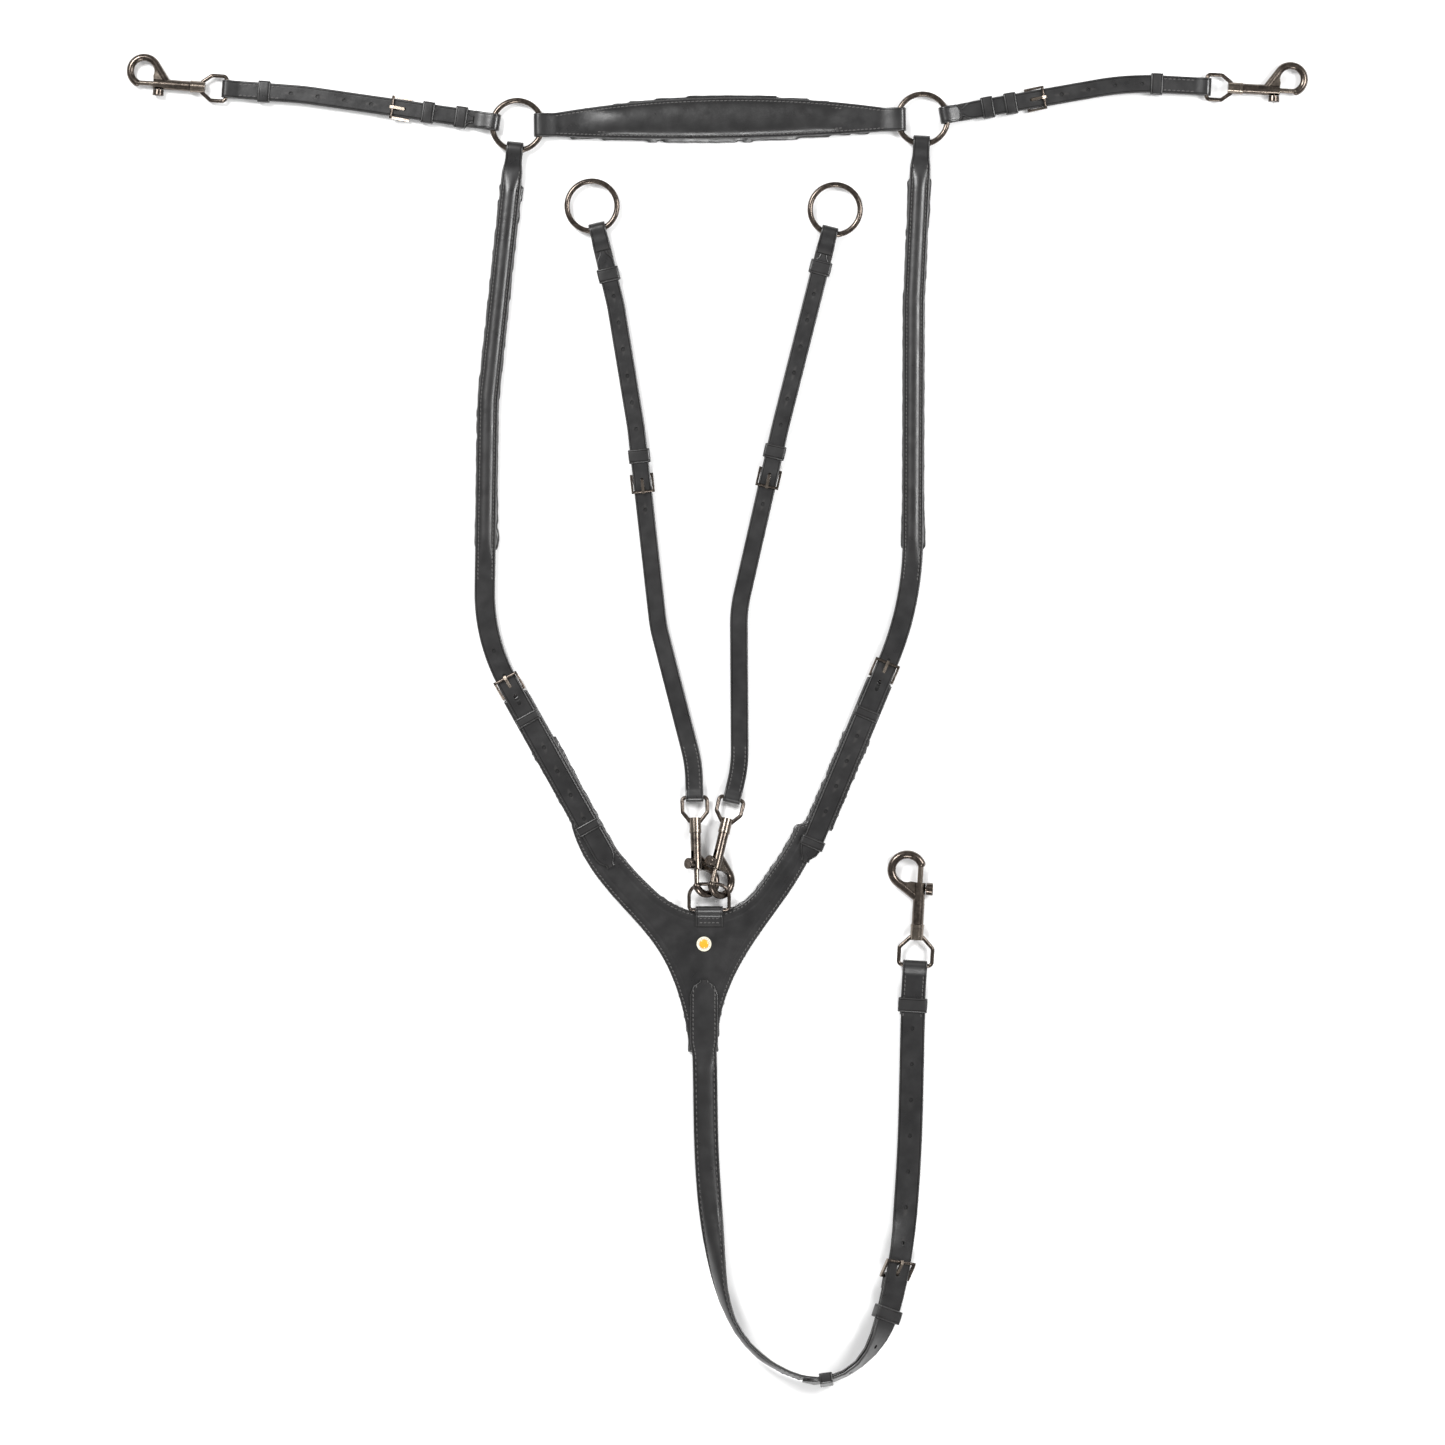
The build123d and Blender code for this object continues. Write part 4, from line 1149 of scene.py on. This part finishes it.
panel_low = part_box("badge")[0].z / MM
strap_walk = walk("girth_strap", Vector((0.4, -102.0, MID + SEAM)), down,
                  lambda spot: (spot - girth_pivot).length < 9.0)
centre, across, out, ahead = strap_walk[0]
head = []
for y in (-32.5, -34.0, -38.0, -46.0, -60.0, -80.0, -88.0, -95.0):
    head.append((Vector((0.0, y, panel_low + SEAM + 0.2)), across, out, down))
tail_centre, tail_across, tail_out, tail_ahead = strap_walk[-1]
tail = [(tail_centre + tail_ahead * step, tail_across, tail_out, tail_ahead) for step in (4.0, 8.4)]
strap_walk = head + strap_walk + tail
strap_length = walk_length(strap_walk)
billet_tip = billet_walk[-1][0]
tip_at = 0.0
for a, b in zip(strap_walk, strap_walk[1:]):
    if (b[0] - billet_tip).length > (a[0] - billet_tip).length and tip_at > 200:
        break
    tip_at += (b[0] - a[0]).length
PANEL = 62.0  # length of the wide panel sewn to the yoke's stem


def girth_half(walked):
    """Half width: a rounded start, the wide panel, and a short taper into the strap."""
    rounded = 1.0 if walked > 12 else max(1 - (1 - walked / 12) ** 2.4, 0.3)
    return (12.7 - 1.7 * ease(PANEL - 8, PANEL + 4, walked)) * rounded


def girth_rise(walked):
    """Height of the strap's rolled middle, which ends before the billet lies on it."""
    return 2.2 * ease(PANEL - 2, PANEL + 24, walked) * (1 - ease(tip_at - 44, tip_at - 12, walked))


girth = walked_strap("girth_strap_rolled", strap_walk, girth_half, girth_rise)
in_leather(girth, "collar", "girth_strap")

walked = 0.0
for before, after in zip(strap_walk, strap_walk[1:]):
    run = (after[0] - before[0]).length
    count = max(1, round(run / STITCH_PITCH))
    for k in range(count):
        share = k / count
        centre = before[0].lerp(after[0], share)
        here = walked + run * share
        if 4 < here < strap_length - 12:
            for edge in (-1, 1):
                aside = before[1].lerp(after[1], share) * edge * (girth_half(here) - 2.9)
                seams["collar"].append((centre + aside + before[2] * SEAM, before[3], before[2]))
    walked += run


def loose_middles(node):
    """Middle of each separate solid of a CAD node, in millimetres, in order of place."""
    shape = bmesh.new()
    shape.from_mesh(frame["nodes"][node].data)
    bmesh.ops.remove_doubles(shape, verts=shape.verts, dist=0.00002)
    left = set(shape.verts)
    found = []
    while left:
        grown = [left.pop()]
        members = []
        while grown:
            vertex = grown.pop()
            members.append(vertex.co / MM)
            for edge in vertex.link_edges:
                other = edge.other_vert(vertex)
                if other in left:
                    left.discard(other)
                    grown.append(other)
        low = Vector([min(spot[k] for spot in members) for k in range(3)])
        high = Vector([max(spot[k] for spot in members) for k in range(3)])
        found.append((low + high) / 2)
    shape.free()
    return sorted(found, key=tuple)


KEEPER_ROOM = 1.0  # room round the two straps inside a girth keeper
BILLET_LIFT = 2.8  # from the girth strap's middle up to the billet's
keepers = []
for k, spot in enumerate(loose_middles("girth_keepers")):
    if (spot - girth_eye).length < 60:
        point, ahead = end_route.at(end_route.nearest(spot))
        keepers.append(keeper(f"girth_band_{k}", point, ahead, UP, MID - LEATHER - KEEPER_GAP,
                              MID + LEATHER + 2 * KEEPER_GAP, GIRTH + 4 * KEEPER_GAP, 13.0))
    else:
        centre, ahead, across, out = frame_on(strap_walk, spot)
        keepers.append(keeper(f"girth_band_{k}", centre, ahead, out, -LEATHER / 2 - KEEPER_ROOM,
                              BILLET_LIFT + LEATHER / 2 + KEEPER_ROOM, GIRTH + 2.4, 12.0))
in_leather(joined(*keepers), "collar", "girth_keepers")

_, ahead, across, out = frame_on(strap_walk, girth_pivot)
spots = [girth_pivot + ahead * s + out * h for s, h in fold(0, 1, CHAPE_RADIUS, 12)]
rows = []
for before, spot, after in zip(spots[:1] + spots, spots, spots[1:] + spots[-1:]):
    rows.append((spot, across, (after - before).normalized().cross(across)))
section = strap_section(GIRTH / 2 - 0.5, CHAPE_WALL, 0.0)
girth_chape = add_piece("girth_chape", *loft(rows, [section] * len(rows)))
through_chape = rounded_slot(-4.2, 4.4, GIRTH_SLOT)
cut(girth_chape, [bore((girth_pivot, ahead, across, out), through_chape, -6.0, 6.0)])
in_leather(girth_chape, "collar")


# ---- Dee tab, badge and stitches ---------------------------------------------

dee = joint_place("dee_swing")
tab_half = (tab_high.x - tab_low.x) / 2
tab_route = Route([Vector((dee.x, tab_low.y, 0)), Vector((dee.x, dee.y, 0))])
TAB_WRAP = 2.5  # from the dee's wire axis to the middle of the leather round it
tab_path = [(0.0, YOKE_TOP + 1.1 - MID), (tab_route.length - 6.0, YOKE_TOP + 1.6 - MID)]
for turn in np.linspace(-0.35, pi, 12):
    tab_path.append((tab_route.length + TAB_WRAP * sin(turn), dee.z - MID + TAB_WRAP * cos(turn)))
tab_path.append((tab_route.length - 4.0, YOKE_TOP + 0.35 - MID))
dee_tab = strap("dee_tab_leather", tab_route, tab_path, tab_half, thickness=1.5, step=1.5)
in_leather(dee_tab, "collar", "dee_tab")
for across_line in (3.2, 7.0):
    point = Vector((dee.x, tab_low.y + across_line, YOKE_TOP + 2.0))
    for k in range(-2, 3):
        seams["collar"].append((point + Vector((k * STITCH_PITCH, 0, 0)), Vector((1, 0, 0)), UP))

badge_middle = middle("badge")
badge_low, badge_high = (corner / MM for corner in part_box("badge"))
badge_radius = (badge_high.x - badge_low.x) / 2
RIM_PROFILE = ((0.0, 0.0), (0.995, 0.0), (1.0, 0.45), (0.97, 0.62), (0.90, 0.66), (0.84, 0.52),
               (0.66, 0.50), (0.63, 0.62), (0.60, 0.5), (0.0, 0.5))
CENTRE_PROFILE = ((0.61, 0.48), (0.60, 0.72), (0.54, 0.88), (0.4, 0.97), (0.2, 1.0), (0.0, 1.0))


def turned(name, profile, count=48):
    """Round piece at the badge from a profile of shares of its radius and height."""
    high = badge_high.z - badge_low.z
    centre = Vector((badge_middle.x, badge_middle.y, badge_low.z))
    points, faces = [], []
    for radius, height in profile:
        for k in range(count):
            turn = 2 * pi * k / count
            reach = max(radius, 0.002) * badge_radius
            points.append(centre + Vector((cos(turn) * reach, sin(turn) * reach, height * high)))
    for row in range(len(profile) - 1):
        for k in range(count):
            after = (k + 1) % count
            here = row * count
            faces.append((here + k, here + after, here + count + after, here + count + k))
    return add_piece(name, points, faces)


finish_piece(turned("badge_rim", RIM_PROFILE), "collar", "badge_enamel", PALE_ENAMEL, "badge")
finish_piece(turned("badge_centre", CENTRE_PROFILE), "collar", "badge_enamel", LOOKS["badge_enamel"])
DOTS = 16
DOT_SHARE = 0.42  # a dot's size as a share of a stitch's
dot_rows = []
for k in range(DOTS):
    turn = 2 * pi * k / DOTS
    facing = Vector((cos(turn), sin(turn), 0))
    height = badge_low.z + (badge_high.z - badge_low.z) * 0.5
    spot = Vector((badge_middle.x, badge_middle.y, height)) + facing * badge_radius * 0.75
    dot_rows.append((spot, facing, UP))
points, faces = stitch_mesh(dot_rows)
corners_each = len(STITCH_RINGS) * STITCH_SIDES
centres = [row[0] for row in dot_rows for _ in range(corners_each)]
points = [spot + (point - spot) * DOT_SHARE for point, spot in zip(points, centres)]
finish_piece(add_piece("badge_dots", points, faces), "collar", "badge_enamel", THREAD)

for body, rows in seams.items():
    if rows:
        stitches = add_piece(f"stitches_{body}", *stitch_mesh(rows), sharp=80)
        finish_piece(stitches, body, "strap_leather", THREAD)


# ---- Floor, light and camera -------------------------------------------------

FLOOR = 6  # metres from the middle of the floor to its edge
floor_mesh = bpy.data.meshes.new("floor")
corners = [(x * FLOOR, y * FLOOR, -0.0002) for x, y in ((-1, -1), (1, -1), (1, 1), (-1, 1))]
floor_mesh.from_pydata(corners, [], [(0, 1, 2, 3)])
floor = linked("floor", floor_mesh)
floor_look = Surface("floor", 0.7)
floor_look.shader.inputs["Base Color"].default_value = (0.93, 0.93, 0.93, 1)
floor_mesh.materials.append(floor_look.material)

world = bpy.data.worlds.new("studio")
world.use_nodes = True
world.node_tree.nodes["Background"].inputs["Color"].default_value = (1, 1, 1, 1)
world.node_tree.nodes["Background"].inputs["Strength"].default_value = 0.42
bpy.context.scene.world = world
bpy.context.scene.view_settings.view_transform = "Standard"


def softbox(name, place, target, size, power):
    """Large square lamp at a place in metres, facing a target."""
    lamp = bpy.data.lights.new(name, "AREA")
    lamp.size = size
    lamp.energy = power
    holder = linked(name, lamp)
    holder.location = place
    holder.rotation_mode = "QUATERNION"
    holder.rotation_quaternion = (target - place).to_track_quat("-Z", "Y")


low, high = cad_box
centre = (low + high) / 2
softbox("key", centre + Vector((-1.3, 1.5, 2.2)), centre, 0.9, 78)
softbox("fill", centre + Vector((1.8, 0.6, 1.9)), centre, 0.9, 50)
softbox("rim", centre + Vector((0.2, -2.2, 1.7)), centre, 0.8, 38)

FRAME_WIDTH = 1.3005  # metres across the whole view
CAMERA_HEIGHT = 6.0
camera = linked("camera", bpy.data.cameras.new("camera"))
camera.location = (0.01665, 0.19935, CAMERA_HEIGHT)
camera.data.sensor_width = 36.0
camera.data.lens = 36.0 * (CAMERA_HEIGHT - MID * MM) / FRAME_WIDTH
camera.data.clip_end = 50
bpy.context.scene.camera = camera
